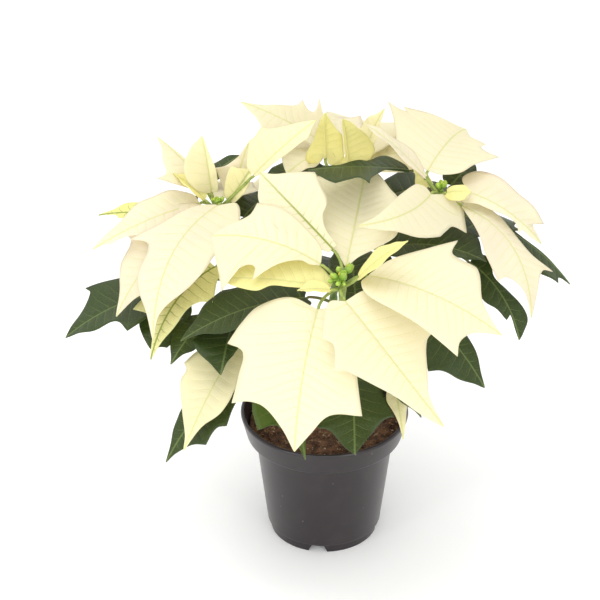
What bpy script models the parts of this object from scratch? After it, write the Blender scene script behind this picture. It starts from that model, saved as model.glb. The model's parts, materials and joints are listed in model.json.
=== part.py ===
"""A white poinsettia in a 13 cm nursery pot, as closed solids.

The pot, the soil, a forked main stem, four leafy shoots, and on each shoot a bloom:
a collar of cream bracts round a cluster of small green flower cups. All sizes are in
millimetres, with the pot's foot on the ground at the origin, the front towards -Y.
"""

import math
from collections import namedtuple

import bmesh
import bpy
import numpy as np
from mathutils import Vector

MM = 0.001
GAP = 0.3

# Pot
POT_HEIGHT = 107.0
RIM_RADIUS = 65.0
LIP_HEIGHT = 20.0
LIP_FOOT_RADIUS = 60.5
SHOULDER_RADIUS = 53.5
LOWER_WALL_RADIUS = 44.2
FOOT_RADIUS = 42.0
FOOT_HEIGHT = 8.0
WALL = 1.8
FLOOR_UNDER = 7.0
PAD_RADIUS = 13.0
DRAIN_RADIUS = 3.5
DRAIN_REACH = 28.0
POT_STEPS = 40
NOTCH_WIDTH = 14.6
NOTCH_TOP = 9.5
NOTCH_HEIGHT = 6.0
NOTCH_TURN = -97.0

# Soil
SOIL_SIDE_TOP = 94.0
SOIL_CROWN = 98.0
STEM_HOLE_DEPTH = 26.0

# Stems
STEM_RADIUS = 4.2
FORK_RADIUS = 3.4
SHOOT_RADIUS = 2.9
TOP_RADIUS = 2.6
FORK = (0.0, 0.0, 122.0)
STUB_END = 0.16
PEDUNCLE = 16.0
NODE_GAP = 0.6

# Blades: bracts and leaves
BLADE_THICKNESS = 0.7
RIB_DEPTH = 0.5
PETIOLE_HALF_WIDTH = 1.3
PETIOLE_HALF_DEPTH = 1.0
WIDEST_STEP = 0.19
CLOSEST_STEP = 0.045
BRACT_DROP = 5.0
LEAF_DROP = 8.0

# The top of each shoot, where its bloom sits
HUBS = {
    "front": (12.0, -60.0, 258.0),
    "left": (-82.0, 42.0, 265.0),
    "right": (88.0, 49.0, 272.0),
    "back": (12.0, 88.0, 272.0),
}

# Flower cups
CUSHION_RADIUS = 1.7
CUSHION_HEIGHT = 2.4
CUP_STALK_RADIUS = 0.8
CUP_SHAPE = (0.86, 0.86, 1.1)

# The flower cups of each bloom: centre and radius
CYATHIA = {
    "front": (((12.4, -60, 262.5), 3.6), ((17, -56, 266.6), 3.4), ((9.5, -55, 264.8), 2.6),
              ((5.8, -60, 262.4), 3.0), ((3.3, -64, 260.6), 2.1), ((8.7, -66, 259.8), 2.2),
              ((13.2, -66, 259.4), 1.6)),
    "left": (((-81.7, 37, 271.0), 3.2), ((-78.5, 40, 270.0), 2.4), ((-85.0, 40, 269.6), 1.8)),
    "right": (((86, 48, 277.5), 2.8), ((90, 47, 279.0), 2.8), ((88, 52, 278.0), 2.2)),
    "back": (((14, 86, 277.5), 2.8), ((18, 88, 277.0), 2.2), ((16, 92, 276.4), 2.0)),
}

COLOURS = {
    "pot": ((0.055, 0.053, 0.056), 0.42),
    "soil": ((0.045, 0.026, 0.016), 0.95),
    "wood": ((0.22, 0.17, 0.09), 0.8),
    "leaf": ((0.028, 0.062, 0.018), 0.5),
    "bract": ((0.93, 0.88, 0.70), 0.55),
    "variegated": ((0.66, 0.68, 0.32), 0.55),
    "cyathium": ((0.35, 0.52, 0.06), 0.5),
}

# Half outlines of a blade. Each point is how far along the midrib and how far out from it,
# as parts of the blade's length. A third value of 1 marks a sharp tooth.
OVAL = ((-0.02, 0.10), (0.12, 0.26), (0.36, 0.33), (0.65, 0.22), (0.87, 0.07))
SLIM = ((0.0, 0.06), (0.20, 0.15), (0.48, 0.19), (0.76, 0.11), (0.92, 0.03))
HALF_CUP = ((0.0, 0.08), (0.16, 0.25), (0.42, 0.34), (0.70, 0.22), (0.90, 0.06))
HIGH_TOOTH = ((-0.03, 0.12), (0.10, 0.30), (0.31, 0.44, 1), (0.34, 0.34), (0.60, 0.25), (0.86, 0.07))
MID_TOOTH = ((-0.02, 0.12), (0.14, 0.27), (0.48, 0.38, 1), (0.50, 0.28), (0.68, 0.20), (0.88, 0.06))
TWO_TEETH = (
    (-0.04, 0.18), (0.08, 0.36), (0.35, 0.50, 1), (0.39, 0.40), (0.54, 0.39),
    (0.71, 0.41, 1), (0.71, 0.26), (0.86, 0.08),
)

Blade = namedtuple(
    "Blade", "name shoot kind start tip roll arch sway fold left right root", defaults=(1.0,)
)

# Each blade grows from a shoot, starts at the end of its petiole, and ends at its tip. It is
# rolled about its midrib by degrees, arched and swayed by parts of its length, and its halves
# are folded up by degrees. Left is the side on the left hand of who looks from start to tip.
# Root says how far up its shoot the petiole leaves.
BRACTS = (
    Blade("front_low", "front", "bract", (-6, -82, 248), (-23, -167, 181), 0, 0.03, -0.02, 5,
          ((-0.03, 0.12), (0.08, 0.27), (0.45, 0.36), (0.74, 0.43, 1), (0.75, 0.22), (0.88, 0.10)),
          ((-0.04, 0.20), (0.07, 0.39), (0.20, 0.47), (0.35, 0.53, 1), (0.39, 0.42), (0.54, 0.42),
           (0.72, 0.44, 1), (0.70, 0.33), (0.73, 0.22), (0.86, 0.09))),
    Blade("front_right", "front", "bract", (14, -82, 255), (84, -147, 189), -8, 0.07, -0.04, 5,
          ((-0.01, 0.16), (0.06, 0.29), (0.24, 0.36), (0.36, 0.34), (0.48, 0.35, 1), (0.51, 0.27),
           (0.66, 0.16), (0.80, 0.05)),
          ((-0.03, 0.10), (0.04, 0.19), (0.18, 0.33, 1), (0.24, 0.29), (0.38, 0.41, 1),
           (0.42, 0.32), (0.62, 0.19), (0.88, 0.07))),
    Blade("front_far_right", "front", "bract", (31, -58, 262), (126, -110, 243), -4, 0.08, 0, 5,
          ((0.06, 0.20), (0.23, 0.40), (0.37, 0.56, 1), (0.40, 0.42), (0.49, 0.39), (0.61, 0.38),
           (0.77, 0.15), (0.88, 0.06)),
          ((0.0, 0.10), (0.12, 0.24), (0.35, 0.33), (0.67, 0.40), (0.88, 0.44, 1), (0.83, 0.30),
           (0.85, 0.17), (0.93, 0.07))),
    Blade("front_young", "front", "bract", (24, -62, 263), (59, -68, 297), -10, 0.05, 0, 14,
          SLIM, ((0.0, 0.10), (0.20, 0.26), (0.48, 0.34), (0.76, 0.22), (0.92, 0.07))),
    Blade("front_back", "front", "bract", (15, -41, 260), (31, 56, 287), 0, 0.05, -0.01, 8,
          ((0.05, 0.05), (0.12, 0.14), (0.26, 0.25), (0.44, 0.32), (0.60, 0.34), (0.79, 0.40, 1),
           (0.84, 0.18)),
          ((0.08, 0.08), (0.16, 0.19), (0.30, 0.33), (0.62, 0.29), (0.74, 0.22), (0.93, 0.10))),
    Blade("front_back_left", "front", "bract", (5, -35, 271), (-49, 7, 312), 15, 0.02, 0.01, 12,
          ((0.0, 0.06), (0.20, 0.20), (0.45, 0.32), (0.76, 0.25), (0.92, 0.08)),
          ((0.0, 0.05), (0.18, 0.08), (0.30, 0.16), (0.36, 0.27), (0.46, 0.33), (0.66, 0.39, 1),
           (0.80, 0.22), (0.92, 0.07))),
    Blade("front_yellow_left", "front", "bract", (3, -65, 255), (-78, -66, 264), 10, 0.05, 0, 5,
          ((0.02, 0.05), (0.36, 0.08), (0.53, 0.09), (0.67, 0.19), (0.84, 0.13)),
          ((-0.02, 0.10), (0.12, 0.26), (0.36, 0.33), (0.65, 0.33), (0.85, 0.24), (0.95, 0.10))),
    Blade("front_small_left", "front", "bract", (3, -70, 257), (-21, -76, 260), 5, 0.05, 0, 20,
          HALF_CUP, HALF_CUP),
    Blade("front_left", "front", "bract", (-4, -50, 267), (-83, -35, 282), 30, 0.12, -0.03, 4,
          ((0.08, 0.06), (0.17, 0.07), (0.36, 0.22), (0.53, 0.44, 1), (0.57, 0.28), (0.72, 0.38),
           (0.80, 0.60, 1), (0.85, 0.44), (0.95, 0.20)),
          ((0.05, 0.13), (0.16, 0.21), (0.42, 0.33), (0.67, 0.34, 1), (0.72, 0.22), (0.90, 0.08))),
    Blade("left_low", "left", "bract", (-81, 28, 272), (-128, -52, 202), -6, 0.18, -0.03, 3,
          ((-0.07, 0.09), (0.11, 0.30), (0.19, 0.36), (0.31, 0.46, 1), (0.35, 0.33), (0.52, 0.30),
           (0.65, 0.22), (0.85, 0.04)),
          ((0.08, 0.11), (0.29, 0.20), (0.45, 0.34, 1), (0.45, 0.20), (0.66, 0.18), (0.86, 0.06))),
    Blade("left_far", "left", "bract", (-95, 44, 265), (-175, 8, 245), 12, 0.06, 0, -6,
          ((0.0, 0.14), (0.18, 0.32), (0.40, 0.36), (0.58, 0.24, 1), (0.62, 0.12), (0.72, 0.06),
           (0.84, 0.05, 1), (0.90, 0.02)),
          ((0.0, 0.12), (0.05, 0.19), (0.16, 0.28), (0.34, 0.27), (0.44, 0.25), (0.62, 0.17),
           (0.80, 0.09), (0.92, 0.04))),
    Blade("left_under", "left", "bract", (-92, 28, 266), (-157, -20, 203), 0, 0.10, 0, 4,
          OVAL, MID_TOOTH),
    Blade("left_upright", "left", "bract", (-86, 49, 271), (-93, 58, 315), 20, 0.05, 0, 14,
          ((0.05, 0.14), (0.16, 0.30), (0.40, 0.43), (0.65, 0.42), (0.86, 0.25), (0.95, 0.09)),
          ((0.03, 0.10), (0.30, 0.13), (0.54, 0.10), (0.76, 0.05), (0.90, 0.03))),
    Blade("left_back", "left", "bract", (-91, 56, 270), (-128, 84, 300), 0, 0.06, 0, 5,
          ((0.05, 0.14), (0.26, 0.42), (0.46, 0.66, 1), (0.46, 0.46), (0.65, 0.29), (0.82, 0.14)),
          ((0.0, 0.10), (0.25, 0.10), (0.53, 0.05), (0.76, 0.02))),
    Blade("left_yellow", "left", "bract", (-91, 42, 269), (-115, 50, 287), 0, 0.05, 0, 20,
          HALF_CUP, HALF_CUP),
    Blade("left_folded", "left", "bract", (-72, 42, 268), (-56, 46, 293), -60, 0.05, 0, 10,
          ((0.0, 0.14), (0.21, 0.29), (0.50, 0.40), (0.78, 0.47, 1), (0.88, 0.22)),
          ((0.0, 0.12), (0.50, 0.20), (0.85, 0.12))),
    Blade("left_inner", "left", "bract", (-54, 42, 290), (-7, 53, 331), -32, 0.05, 0, 6,
          ((0.0, 0.14), (0.22, 0.36, 1), (0.30, 0.34), (0.44, 0.37, 1), (0.50, 0.29), (0.80, 0.12)),
          ((0.05, 0.05), (0.20, 0.08), (0.50, 0.11), (0.80, 0.14, 1), (0.90, 0.06))),
    Blade("left_blush", "left", "bract", (-70, 58, 266), (-58, 62, 307), -60, 0.05, 0, 4,
          ((0.0, 0.14), (0.10, 0.24), (0.24, 0.34), (0.37, 0.42, 1), (0.50, 0.24), (0.70, 0.10),
           (0.90, 0.04)),
          ((0.0, 0.12), (0.40, 0.17), (0.75, 0.14), (0.92, 0.09))),
    Blade("left_behind_inner", "left", "bract", (-78, 62, 260), (-70, 124, 238), 0, 0.06, 0, 4,
          MID_TOOTH, HIGH_TOOTH),
    Blade("right_low", "right", "bract", (80, 35, 278), (23, -38, 292), 34, 0.04, 0.08, 5,
          ((-0.20, 0.18), (-0.10, 0.28), (0.01, 0.34), (0.13, 0.42, 1), (0.18, 0.31), (0.27, 0.30),
           (0.37, 0.31, 1), (0.56, 0.22), (0.72, 0.12)),
          ((0.0, 0.08), (0.10, 0.15), (0.45, 0.15), (0.82, 0.05))),
    Blade("right_top", "right", "bract", (78, 55, 287), (111, 134, 280), -12, 0.08, 0.01, 4,
          ((0.0, 0.18), (0.07, 0.32), (0.24, 0.42), (0.53, 0.59), (0.69, 0.70, 1), (0.69, 0.52),
           (0.77, 0.56, 1), (0.84, 0.42), (0.92, 0.22)),
          ((0.0, 0.12), (0.10, 0.27), (0.26, 0.34), (0.37, 0.40), (0.55, 0.48, 1), (0.56, 0.36),
           (0.60, 0.28), (0.67, 0.30, 1), (0.76, 0.14), (0.90, 0.05))),
    Blade("right_side", "right", "bract", (108, 45, 274), (163, 15, 246), -12, 0.12, 0, -10,
          ((-0.19, 0.24), (-0.15, 0.44), (0.05, 0.48), (0.28, 0.43), (0.49, 0.37), (0.72, 0.32),
           (0.90, 0.27, 1), (0.80, 0.14)),
          ((0.0, 0.14), (0.21, 0.11), (0.45, 0.07), (0.65, 0.06), (0.75, 0.12, 1), (0.76, 0.06),
           (0.88, 0.05))),
    Blade("right_droop", "right", "bract", (104, 38, 266), (154, -31, 209), 14, 0.16, 0.05, -4,
          ((0.0, 0.10), (0.14, 0.14), (0.46, 0.13), (0.59, 0.16), (0.72, 0.30, 1), (0.71, 0.18),
           (0.86, 0.08)),
          ((0.09, 0.08), (0.29, 0.20), (0.47, 0.28), (0.59, 0.28), (0.73, 0.26, 1), (0.71, 0.17),
           (0.83, 0.05))),
    Blade("right_band", "right", "bract", (76, 46, 286), (28, 62, 324), -12, 0.05, 0, 5,
          SLIM, ((0.0, 0.06), (0.20, 0.17), (0.48, 0.20), (0.76, 0.13), (0.92, 0.04))),
    Blade("right_small_yellow", "right", "bract", (92, 42, 275), (110, 34, 280), -30, 0.08, 0, 6,
          ((0.0, 0.16), (0.26, 0.23), (0.64, 0.27), (0.88, 0.12)),
          ((0.0, 0.20), (0.30, 0.42), (0.58, 0.46), (0.84, 0.38, 1), (0.92, 0.14))),
    Blade("right_small_green", "right", "bract", (80, 51, 276), (67, 51, 291), -75, 0.05, 0, 6,
          ((0.0, 0.14), (0.40, 0.20), (0.80, 0.10)),
          ((0.0, 0.20), (0.12, 0.34), (0.35, 0.52, 1), (0.64, 0.24), (0.88, 0.10))),
    Blade("right_behind", "right", "bract", (104, 54, 259), (136, 94, 243), 0, 0.06, 0, 4,
          SLIM, HALF_CUP),
    Blade("back_left", "back", "bract", (6, 108, 275), (-64, 88, 328), 20, 0.05, 0, 5,
          ((0.0, 0.10), (0.25, 0.16), (0.53, 0.16), (0.80, 0.31, 1), (0.88, 0.15)),
          ((0.0, 0.12), (0.10, 0.29), (0.17, 0.49, 1), (0.22, 0.31), (0.29, 0.28), (0.36, 0.36, 1),
           (0.43, 0.26), (0.62, 0.14), (0.82, 0.05))),
    Blade("back_flap", "back", "bract", (-5, 87, 284), (-29, 62, 280), 0, 0.05, 0, 5,
          ((0.0, 0.15), (0.30, 0.36), (0.70, 0.30), (0.90, 0.10)),
          ((0.0, 0.20), (0.30, 0.50), (0.65, 0.46), (0.88, 0.20))),
    Blade("back_upright", "back", "bract", (0, 68, 292), (0, 48, 340), 0, 0.05, 0, 8,
          ((-0.16, 0.08), (-0.06, 0.27), (0.09, 0.27), (0.30, 0.26), (0.42, 0.24), (0.59, 0.14),
           (0.85, 0.05)),
          ((-0.19, 0.16), (-0.09, 0.28), (0.09, 0.25), (0.30, 0.17), (0.74, 0.08))),
    Blade("back_young", "back", "bract", (5, 76, 283), (-6, 70, 304), 0, 0.05, 0, 20,
          HALF_CUP, HALF_CUP),
    Blade("back_bowl", "back", "bract", (18, 70, 281), (13, 40, 339), 0, 0.06, 0, 25,
          ((0.0, 0.20), (0.11, 0.30), (0.21, 0.33), (0.48, 0.23), (0.75, 0.12), (0.90, 0.05)),
          ((-0.10, 0.14), (-0.04, 0.24), (0.04, 0.16), (0.14, 0.05), (0.47, 0.04), (0.85, 0.03))),
    Blade("back_right", "back", "bract", (32, 92, 284), (46, 100, 316), 0, 0.05, 0, 14,
          HALF_CUP, HALF_CUP),
    Blade("back_far", "back", "bract", (20, 104, 274), (46, 192, 252), 0, 0.12, 0, 4,
          TWO_TEETH, MID_TOOTH),
    Blade("back_far_left", "back", "bract", (4, 104, 274), (-38, 184, 244), 0, 0.14, 0, 4,
          MID_TOOTH, TWO_TEETH),
    Blade("back_side_left", "back", "bract", (-6, 98, 256), (-64, 122, 232), 0, 0.08, 0, 4,
          HIGH_TOOTH, OVAL),
    Blade("back_side_right", "back", "bract", (30, 96, 270), (104, 142, 244), 0, 0.12, 0, 4,
          OVAL, HIGH_TOOTH),
)

LEAVES = (
    Blade("left_g1", "left", "leaf", (-125, 14, 204), (-197, -7, 176), 0, 0.08, 0, 5,
          ((-0.02, 0.12), (0.14, 0.36), (0.44, 0.52, 1), (0.50, 0.30), (0.76, 0.18)),
          ((-0.02, 0.12), (0.14, 0.34), (0.63, 0.43, 1), (0.61, 0.33), (0.80, 0.16)), 0.70),
    Blade("left_g2", "left", "leaf", (-90, -20, 202), (-115, -60, 186), 0, 0.06, 0, 5,
          MID_TOOTH, MID_TOOTH, 0.58),
    Blade("left_g5", "left", "leaf", (-109, 2, 206), (-131, -33, 182), 0, 0.08, 0, 5,
          ((-0.02, 0.12), (0.20, 0.34), (0.50, 0.38), (0.75, 0.33), (0.90, 0.28, 1), (0.93, 0.14)),
          ((-0.02, 0.12), (0.15, 0.38), (0.40, 0.46), (0.67, 0.39), (0.84, 0.22), (0.95, 0.09)),
          0.64),
    Blade("left_back_low", "left", "leaf", (-108, 66, 238), (-174, 65, 242), 0, 0.06, 0, 5,
          ((-0.02, 0.12), (0.30, 0.20), (0.60, 0.13), (0.76, 0.11, 1), (0.81, 0.04)),
          ((-0.02, 0.12), (0.25, 0.24), (0.45, 0.25), (0.60, 0.19), (0.75, 0.14), (0.90, 0.05)),
          0.82),
    Blade("left_rear", "left", "leaf", (-92, 72, 220), (-126, 140, 194), 0, 0.12, 0, 5,
          HIGH_TOOTH, MID_TOOTH, 0.76),
    Blade("left_inner_rear", "left", "leaf", (-62, 66, 240), (-34, 122, 226), 0, 0.10, 0, 5,
          MID_TOOTH, MID_TOOTH, 0.80),
    Blade("left_patch", "left", "leaf", (-95, 72, 262), (-62, 106, 273), 0, 0.08, 0, 5,
          SLIM, SLIM, 0.86),
    Blade("front_g3", "front", "leaf", (-15, -46, 236), (-107, -64, 209), 0, 0.08, 0, 5,
          MID_TOOTH,
          ((-0.02, 0.12), (0.11, 0.21), (0.27, 0.27), (0.44, 0.30), (0.58, 0.32, 1), (0.66, 0.26),
           (0.76, 0.22), (0.89, 0.10)), 0.86),
    Blade("front_g4", "front", "leaf", (-70, -45, 209), (-77, -90, 196), 0, 0.06, 0, 5,
          ((-0.02, 0.10), (0.20, 0.24), (0.46, 0.22), (0.63, 0.12), (0.82, 0.05)),
          ((-0.02, 0.12), (0.20, 0.40), (0.46, 0.53, 1), (0.61, 0.44), (0.74, 0.29), (0.92, 0.10)),
          0.62),
    Blade("front_g5", "front", "leaf", (-60, -55, 176), (-118, -105, 129), 0, 0.10, 0, 5,
          ((-0.02, 0.10), (0.15, 0.18), (0.34, 0.25), (0.49, 0.34, 1), (0.55, 0.28), (0.71, 0.31, 1),
           (0.78, 0.15), (0.90, 0.05)),
          ((0.0, 0.10), (0.20, 0.16), (0.57, 0.17), (0.70, 0.13), (0.85, 0.05)), 0.42),
    Blade("front_rear", "front", "leaf", (22, -45, 233), (19, 35, 233), 0, 0.06, 0, 5,
          ((0.0, 0.10), (0.30, 0.20), (0.60, 0.22), (0.85, 0.10)),
          ((0.0, 0.12), (0.30, 0.34), (0.60, 0.36), (0.85, 0.15)), 0.80),
    Blade("front_g7", "front", "leaf", (20, -70, 186), (21, -130, 153), 0, 0.06, 0, 4,
          ((-0.02, 0.10), (0.25, 0.30), (0.45, 0.37), (0.60, 0.43, 1), (0.64, 0.31), (0.88, 0.10)),
          ((-0.02, 0.10), (0.25, 0.30), (0.50, 0.36), (0.72, 0.39, 1), (0.75, 0.26), (0.93, 0.10)),
          0.50),
    Blade("front_g8", "front", "leaf", (-30, -65, 183), (-15, -125, 145), 0, 0.06, 0, 4,
          ((0.0, 0.10), (0.15, 0.22), (0.40, 0.20), (0.60, 0.11), (0.80, 0.04)),
          ((0.0, 0.12), (0.33, 0.42), (0.64, 0.43, 1), (0.62, 0.24), (0.76, 0.10), (0.88, 0.04)),
          0.46),
    Blade("front_under_right", "front", "leaf", (43, -74, 188), (70, -104, 168), 0, 0.08, 0, 4,
          SLIM, SLIM, 0.54),
    Blade("right_g9", "right", "leaf", (79, -20, 202), (119, -58, 164), 0, 0.06, 0, 4,
          ((-0.02, 0.12), (0.14, 0.25), (0.40, 0.22), (0.70, 0.12), (0.88, 0.05)),
          ((-0.02, 0.12), (0.14, 0.32), (0.53, 0.58, 1), (0.60, 0.44), (0.85, 0.18)), 0.56),
    Blade("right_g10", "right", "leaf", (110, 20, 227), (147, -15, 179), 0, 0.08, 0.06, 4,
          ((-0.02, 0.12), (0.10, 0.20), (0.28, 0.07), (0.48, 0.12), (0.73, 0.17), (0.84, 0.165),
           (0.94, 0.08)),
          ((-0.02, 0.12), (0.15, 0.26), (0.29, 0.25), (0.46, 0.28), (0.62, 0.17), (0.76, 0.09, 1),
           (0.68, 0.03), (0.90, 0.02)), 0.72),
    Blade("right_g11", "right", "leaf", (45, 0, 252), (121, 0, 239), 0, 0.10, 0, 4,
          ((-0.02, 0.12), (0.20, 0.30), (0.50, 0.36), (0.80, 0.50, 1), (0.90, 0.34), (0.96, 0.12)),
          MID_TOOTH, 0.80),
    Blade("right_g12", "right", "leaf", (122, 50, 248), (187, 22, 206), 0, 0.08, 0, 4,
          ((0.0, 0.08), (0.11, 0.09), (0.30, 0.03), (0.60, 0.02), (0.90, 0.01)),
          ((0.0, 0.12), (0.24, 0.26), (0.55, 0.30), (0.72, 0.28), (0.90, 0.15, 1), (0.88, 0.07)),
          0.84),
    Blade("right_rear", "right", "leaf", (104, 74, 220), (156, 128, 196), 0, 0.12, 0, 5,
          HIGH_TOOTH, MID_TOOTH, 0.78),
    Blade("right_patch", "right", "leaf", (97, 70, 266), (117, 104, 266), 0, 0.05, 0, 5,
          OVAL, OVAL, 0.92),
    Blade("back_g14", "right", "leaf", (64, 58, 286), (-13, 19, 307), -4, 0.03, 0, 5,
          ((0.0, 0.03), (0.20, 0.04), (0.33, 0.09), (0.57, 0.32), (0.68, 0.48, 1), (0.70, 0.35),
           (0.80, 0.36), (0.94, 0.37, 1), (0.97, 0.16)),
          ((0.0, 0.10), (0.12, 0.22), (0.42, 0.11), (0.77, 0.04)), 0.94),
    Blade("back_rear", "back", "leaf", (16, 110, 240), (6, 186, 214), 0, 0.12, 0, 5,
          HIGH_TOOTH, MID_TOOTH, 0.80),
    Blade("back_rear_right", "back", "leaf", (48, 104, 236), (112, 140, 212), 0, 0.12, 0, 5,
          MID_TOOTH, HIGH_TOOTH, 0.74),
    Blade("back_rear_left", "back", "leaf", (-16, 108, 206), (-74, 146, 182), 0, 0.12, 0, 5,
          HIGH_TOOTH, MID_TOOTH, 0.70),
    Blade("back_patch", "back", "leaf", (2, 104, 260), (-48, 82, 264), 0, 0.06, 0, 5, SLIM,
          ((0.0, 0.12), (0.20, 0.38), (0.40, 0.46, 1), (0.50, 0.30), (0.67, 0.25), (0.87, 0.09)),
          0.86),
    Blade("back_low", "back", "leaf", (14, 84, 176), (22, 148, 146), 0, 0.12, 0, 5,
          MID_TOOTH, HIGH_TOOTH, 0.42),
)

LOW_BRACTS = (
    Blade("low_bract_left", "front", "bract", (-66, -46, 193), (-104, -120, 150), -2, 0.05, 0, 4,
          ((0.0, 0.08), (0.10, 0.14), (0.22, 0.16), (0.40, 0.19), (0.52, 0.20), (0.63, 0.17),
           (0.76, 0.08), (0.90, 0.03)),
          ((-0.02, 0.10), (0.08, 0.22), (0.16, 0.28), (0.30, 0.32, 1), (0.36, 0.27), (0.46, 0.27),
           (0.68, 0.16), (0.88, 0.04)), 0.60),
    Blade("low_bract_right", "front", "bract", (51, -76, 179), (57, -106, 150), 0, 0.06, 0, 6,
          ((0.0, 0.10), (0.30, 0.16), (0.55, 0.12), (0.75, 0.07), (0.90, 0.03)),
          ((0.0, 0.10), (0.25, 0.20), (0.45, 0.14), (0.70, 0.05), (0.88, 0.02)), 0.44),
    Blade("variegated_bract", "left", "variegated", (-83, 10, 229), (-130, -55, 187), -8, 0.12,
          -0.03, 5,
          ((0.0, 0.10), (0.15, 0.20), (0.30, 0.31), (0.41, 0.37, 1), (0.41, 0.25), (0.48, 0.19),
           (0.66, 0.15), (0.81, 0.08)),
          ((0.0, 0.10), (0.20, 0.24), (0.40, 0.27), (0.66, 0.33, 1), (0.67, 0.14), (0.76, 0.07)),
          0.78),
)


def unit(vector):
    return vector / np.linalg.norm(vector)


def blade_surface(blade):
    """Returns the blade's length, and its middle surface: a function from how far along the
    midrib (0 to 1) and how far out (mm, left is positive) to the point and its normal."""
    start = np.array(blade.start, float)
    chord = np.array(blade.tip, float) - start
    length = np.linalg.norm(chord)
    ahead = chord / length
    flat_up = unit(np.array((0.0, 0.0, 1.0)) - ahead * ahead[2])
    flat_side = np.cross(flat_up, ahead)
    roll = math.radians(blade.roll)
    up = flat_up * math.cos(roll) + flat_side * math.sin(roll)
    side = np.cross(up, ahead)
    bend = blade.arch * up + blade.sway * side
    fold = math.radians(blade.fold)

    def at(along, out):
        middle = start + chord * along + bend * (length * 4 * along * (1 - along))
        direction = unit(chord + bend * (length * 4 * (1 - 2 * along)))
        normal = unit(up - direction * (up @ direction))
        left = np.cross(normal, direction)
        point = middle + left * (out * math.cos(fold)) + normal * (abs(out) * math.sin(fold))
        return point, normal

    return length, at


def half_outline(knots, length):
    """Returns a dense half outline: station, along and out arrays, and the stations that a
    coarse loft must keep. A station is where the side vein of an edge point leaves the midrib."""
    knots = [tuple(knot) + (0,) * (3 - len(knot)) for knot in knots]
    points = [(0.0, PETIOLE_HALF_WIDTH / length, 1)] + knots + [(1.0, 0.6 / length, 1)]
    places = np.array([point[:2] for point in points])
    sharp = [point[2] for point in points]
    steps = 8
    curve = [places[0]]
    for i in range(len(points) - 1):
        span = places[i + 1] - places[i]
        reach = np.linalg.norm(span)
        leave = span if sharp[i] else unit(places[i + 1] - places[i - 1]) * reach
        arrive = span if sharp[i + 1] else unit(places[i + 2] - places[i]) * reach
        for k in range(1, steps + 1):
            t = k / steps
            curve.append(
                places[i] * (2 * t**3 - 3 * t**2 + 1) + leave * (t**3 - 2 * t**2 + t)
                + places[i + 1] * (3 * t**2 - 2 * t**3) + arrive * (t**3 - t**2)
            )
    curve = np.array(curve)
    along, out = curve.T
    foot = np.clip(along - out * (0.25 + 0.5 * along), 0, 1)
    foot = np.maximum.accumulate(foot)
    arc = np.concatenate([[0], np.cumsum(np.linalg.norm(np.diff(curve, axis=0), axis=1))])
    station = 0.75 * foot / foot[-1] + 0.25 * arc / arc[-1]
    kept = []
    for i, corner in enumerate(sharp[1:-1], start=1):
        if corner:
            kept += [station[i * steps], station[(i + 1) * steps]]
    return station, along, out, kept


def blade_stations(kept):
    """The stations of a coarse loft: the kept ones, and others between them where far apart."""
    chosen = [0.0, 1.0]
    for station in kept:
        if min(abs(station - other) for other in chosen) > CLOSEST_STEP:
            chosen.append(station)
    chosen.sort()
    filled = [0.0]
    for station in chosen[1:]:
        pieces = math.ceil((station - filled[-1]) / WIDEST_STEP)
        filled += list(np.linspace(filled[-1], station, pieces + 1)[1:])
    return filled


def petiole_rings(root, start, ahead, normal, count):
    """Six-sided rings along a petiole that leaves its root and arrives in line with the midrib."""
    elbow = start - ahead * (0.45 * np.linalg.norm(start - root))
    rings = []
    for k in range(count):
        t = k / count
        middle = root * (1 - t) ** 2 + elbow * (2 * t * (1 - t)) + start * t**2
        direction = unit((elbow - root) * (1 - t) + (start - elbow) * t)
        up = unit(normal - direction * (normal @ direction))
        side = np.cross(up, direction) * PETIOLE_HALF_WIDTH
        top = up * BLADE_THICKNESS / 2
        crown = up * PETIOLE_HALF_DEPTH
        rings.append([middle + side + top, middle + crown, middle - side + top,
                      middle - side - top, middle - crown, middle + side - top])
    return rings


def blade_rings(blade, root):
    length, at = blade_surface(blade)
    left_station, left_along, left_out, left_kept = half_outline(blade.left, length)
    right_station, right_along, right_out, right_kept = half_outline(blade.right, length)
    start, normal = at(0.0, 0.0)
    ahead = unit(at(0.05, 0.0)[0] - start)
    reach = np.linalg.norm(start - root)
    rings = petiole_rings(root, start, ahead, normal, 2 if reach < 35 else 4)
    for station in blade_stations(left_kept + right_kept):
        left, left_up = at(np.interp(station, left_station, left_along),
                           np.interp(station, left_station, left_out) * length)
        right, right_up = at(np.interp(station, right_station, right_along),
                             -np.interp(station, right_station, right_out) * length)
        middle, up = at(station, 0.0)
        half = BLADE_THICKNESS / 2
        rib = half + RIB_DEPTH * (1 - station)
        rings.append([left + left_up * half, middle + up * half, right + right_up * half,
                      right - right_up * half, middle - up * rib, left - left_up * half])
    return rings


def loft(rings):
    """A closed mesh through rings of equal count, its faces split alike above and below."""
    mesh = bmesh.new()
    rows = [[mesh.verts.new(point * MM) for point in ring] for ring in rings]
    count = len(rows[0])
    for first, second in zip(rows, rows[1:]):
        for i in range(count):
            j = (i + 1) % count
            a, b, c, d = first[i], first[j], second[j], second[i]
            if i in (0, 3):
                a, b, c, d = b, c, d, a
            mesh.faces.new((a, b, c))
            mesh.faces.new((a, c, d))
    for row in (rows[0], rows[-1]):
        mesh.faces.new(row)
    bmesh.ops.triangulate(mesh, faces=[face for face in mesh.faces if len(face.verts) > 4])
    bmesh.ops.recalc_face_normals(mesh, faces=mesh.faces)
    return mesh


def material_for(colour):
    if colour in bpy.data.materials:
        return bpy.data.materials[colour]
    rgb, roughness = COLOURS[colour]
    material = bpy.data.materials.new(colour)
    material.use_nodes = True
    shader = material.node_tree.nodes["Principled BSDF"]
    shader.inputs["Base Color"].default_value = (*rgb, 1)
    shader.inputs["Roughness"].default_value = roughness
    shader.inputs["Metallic"].default_value = 0
    return material


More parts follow.
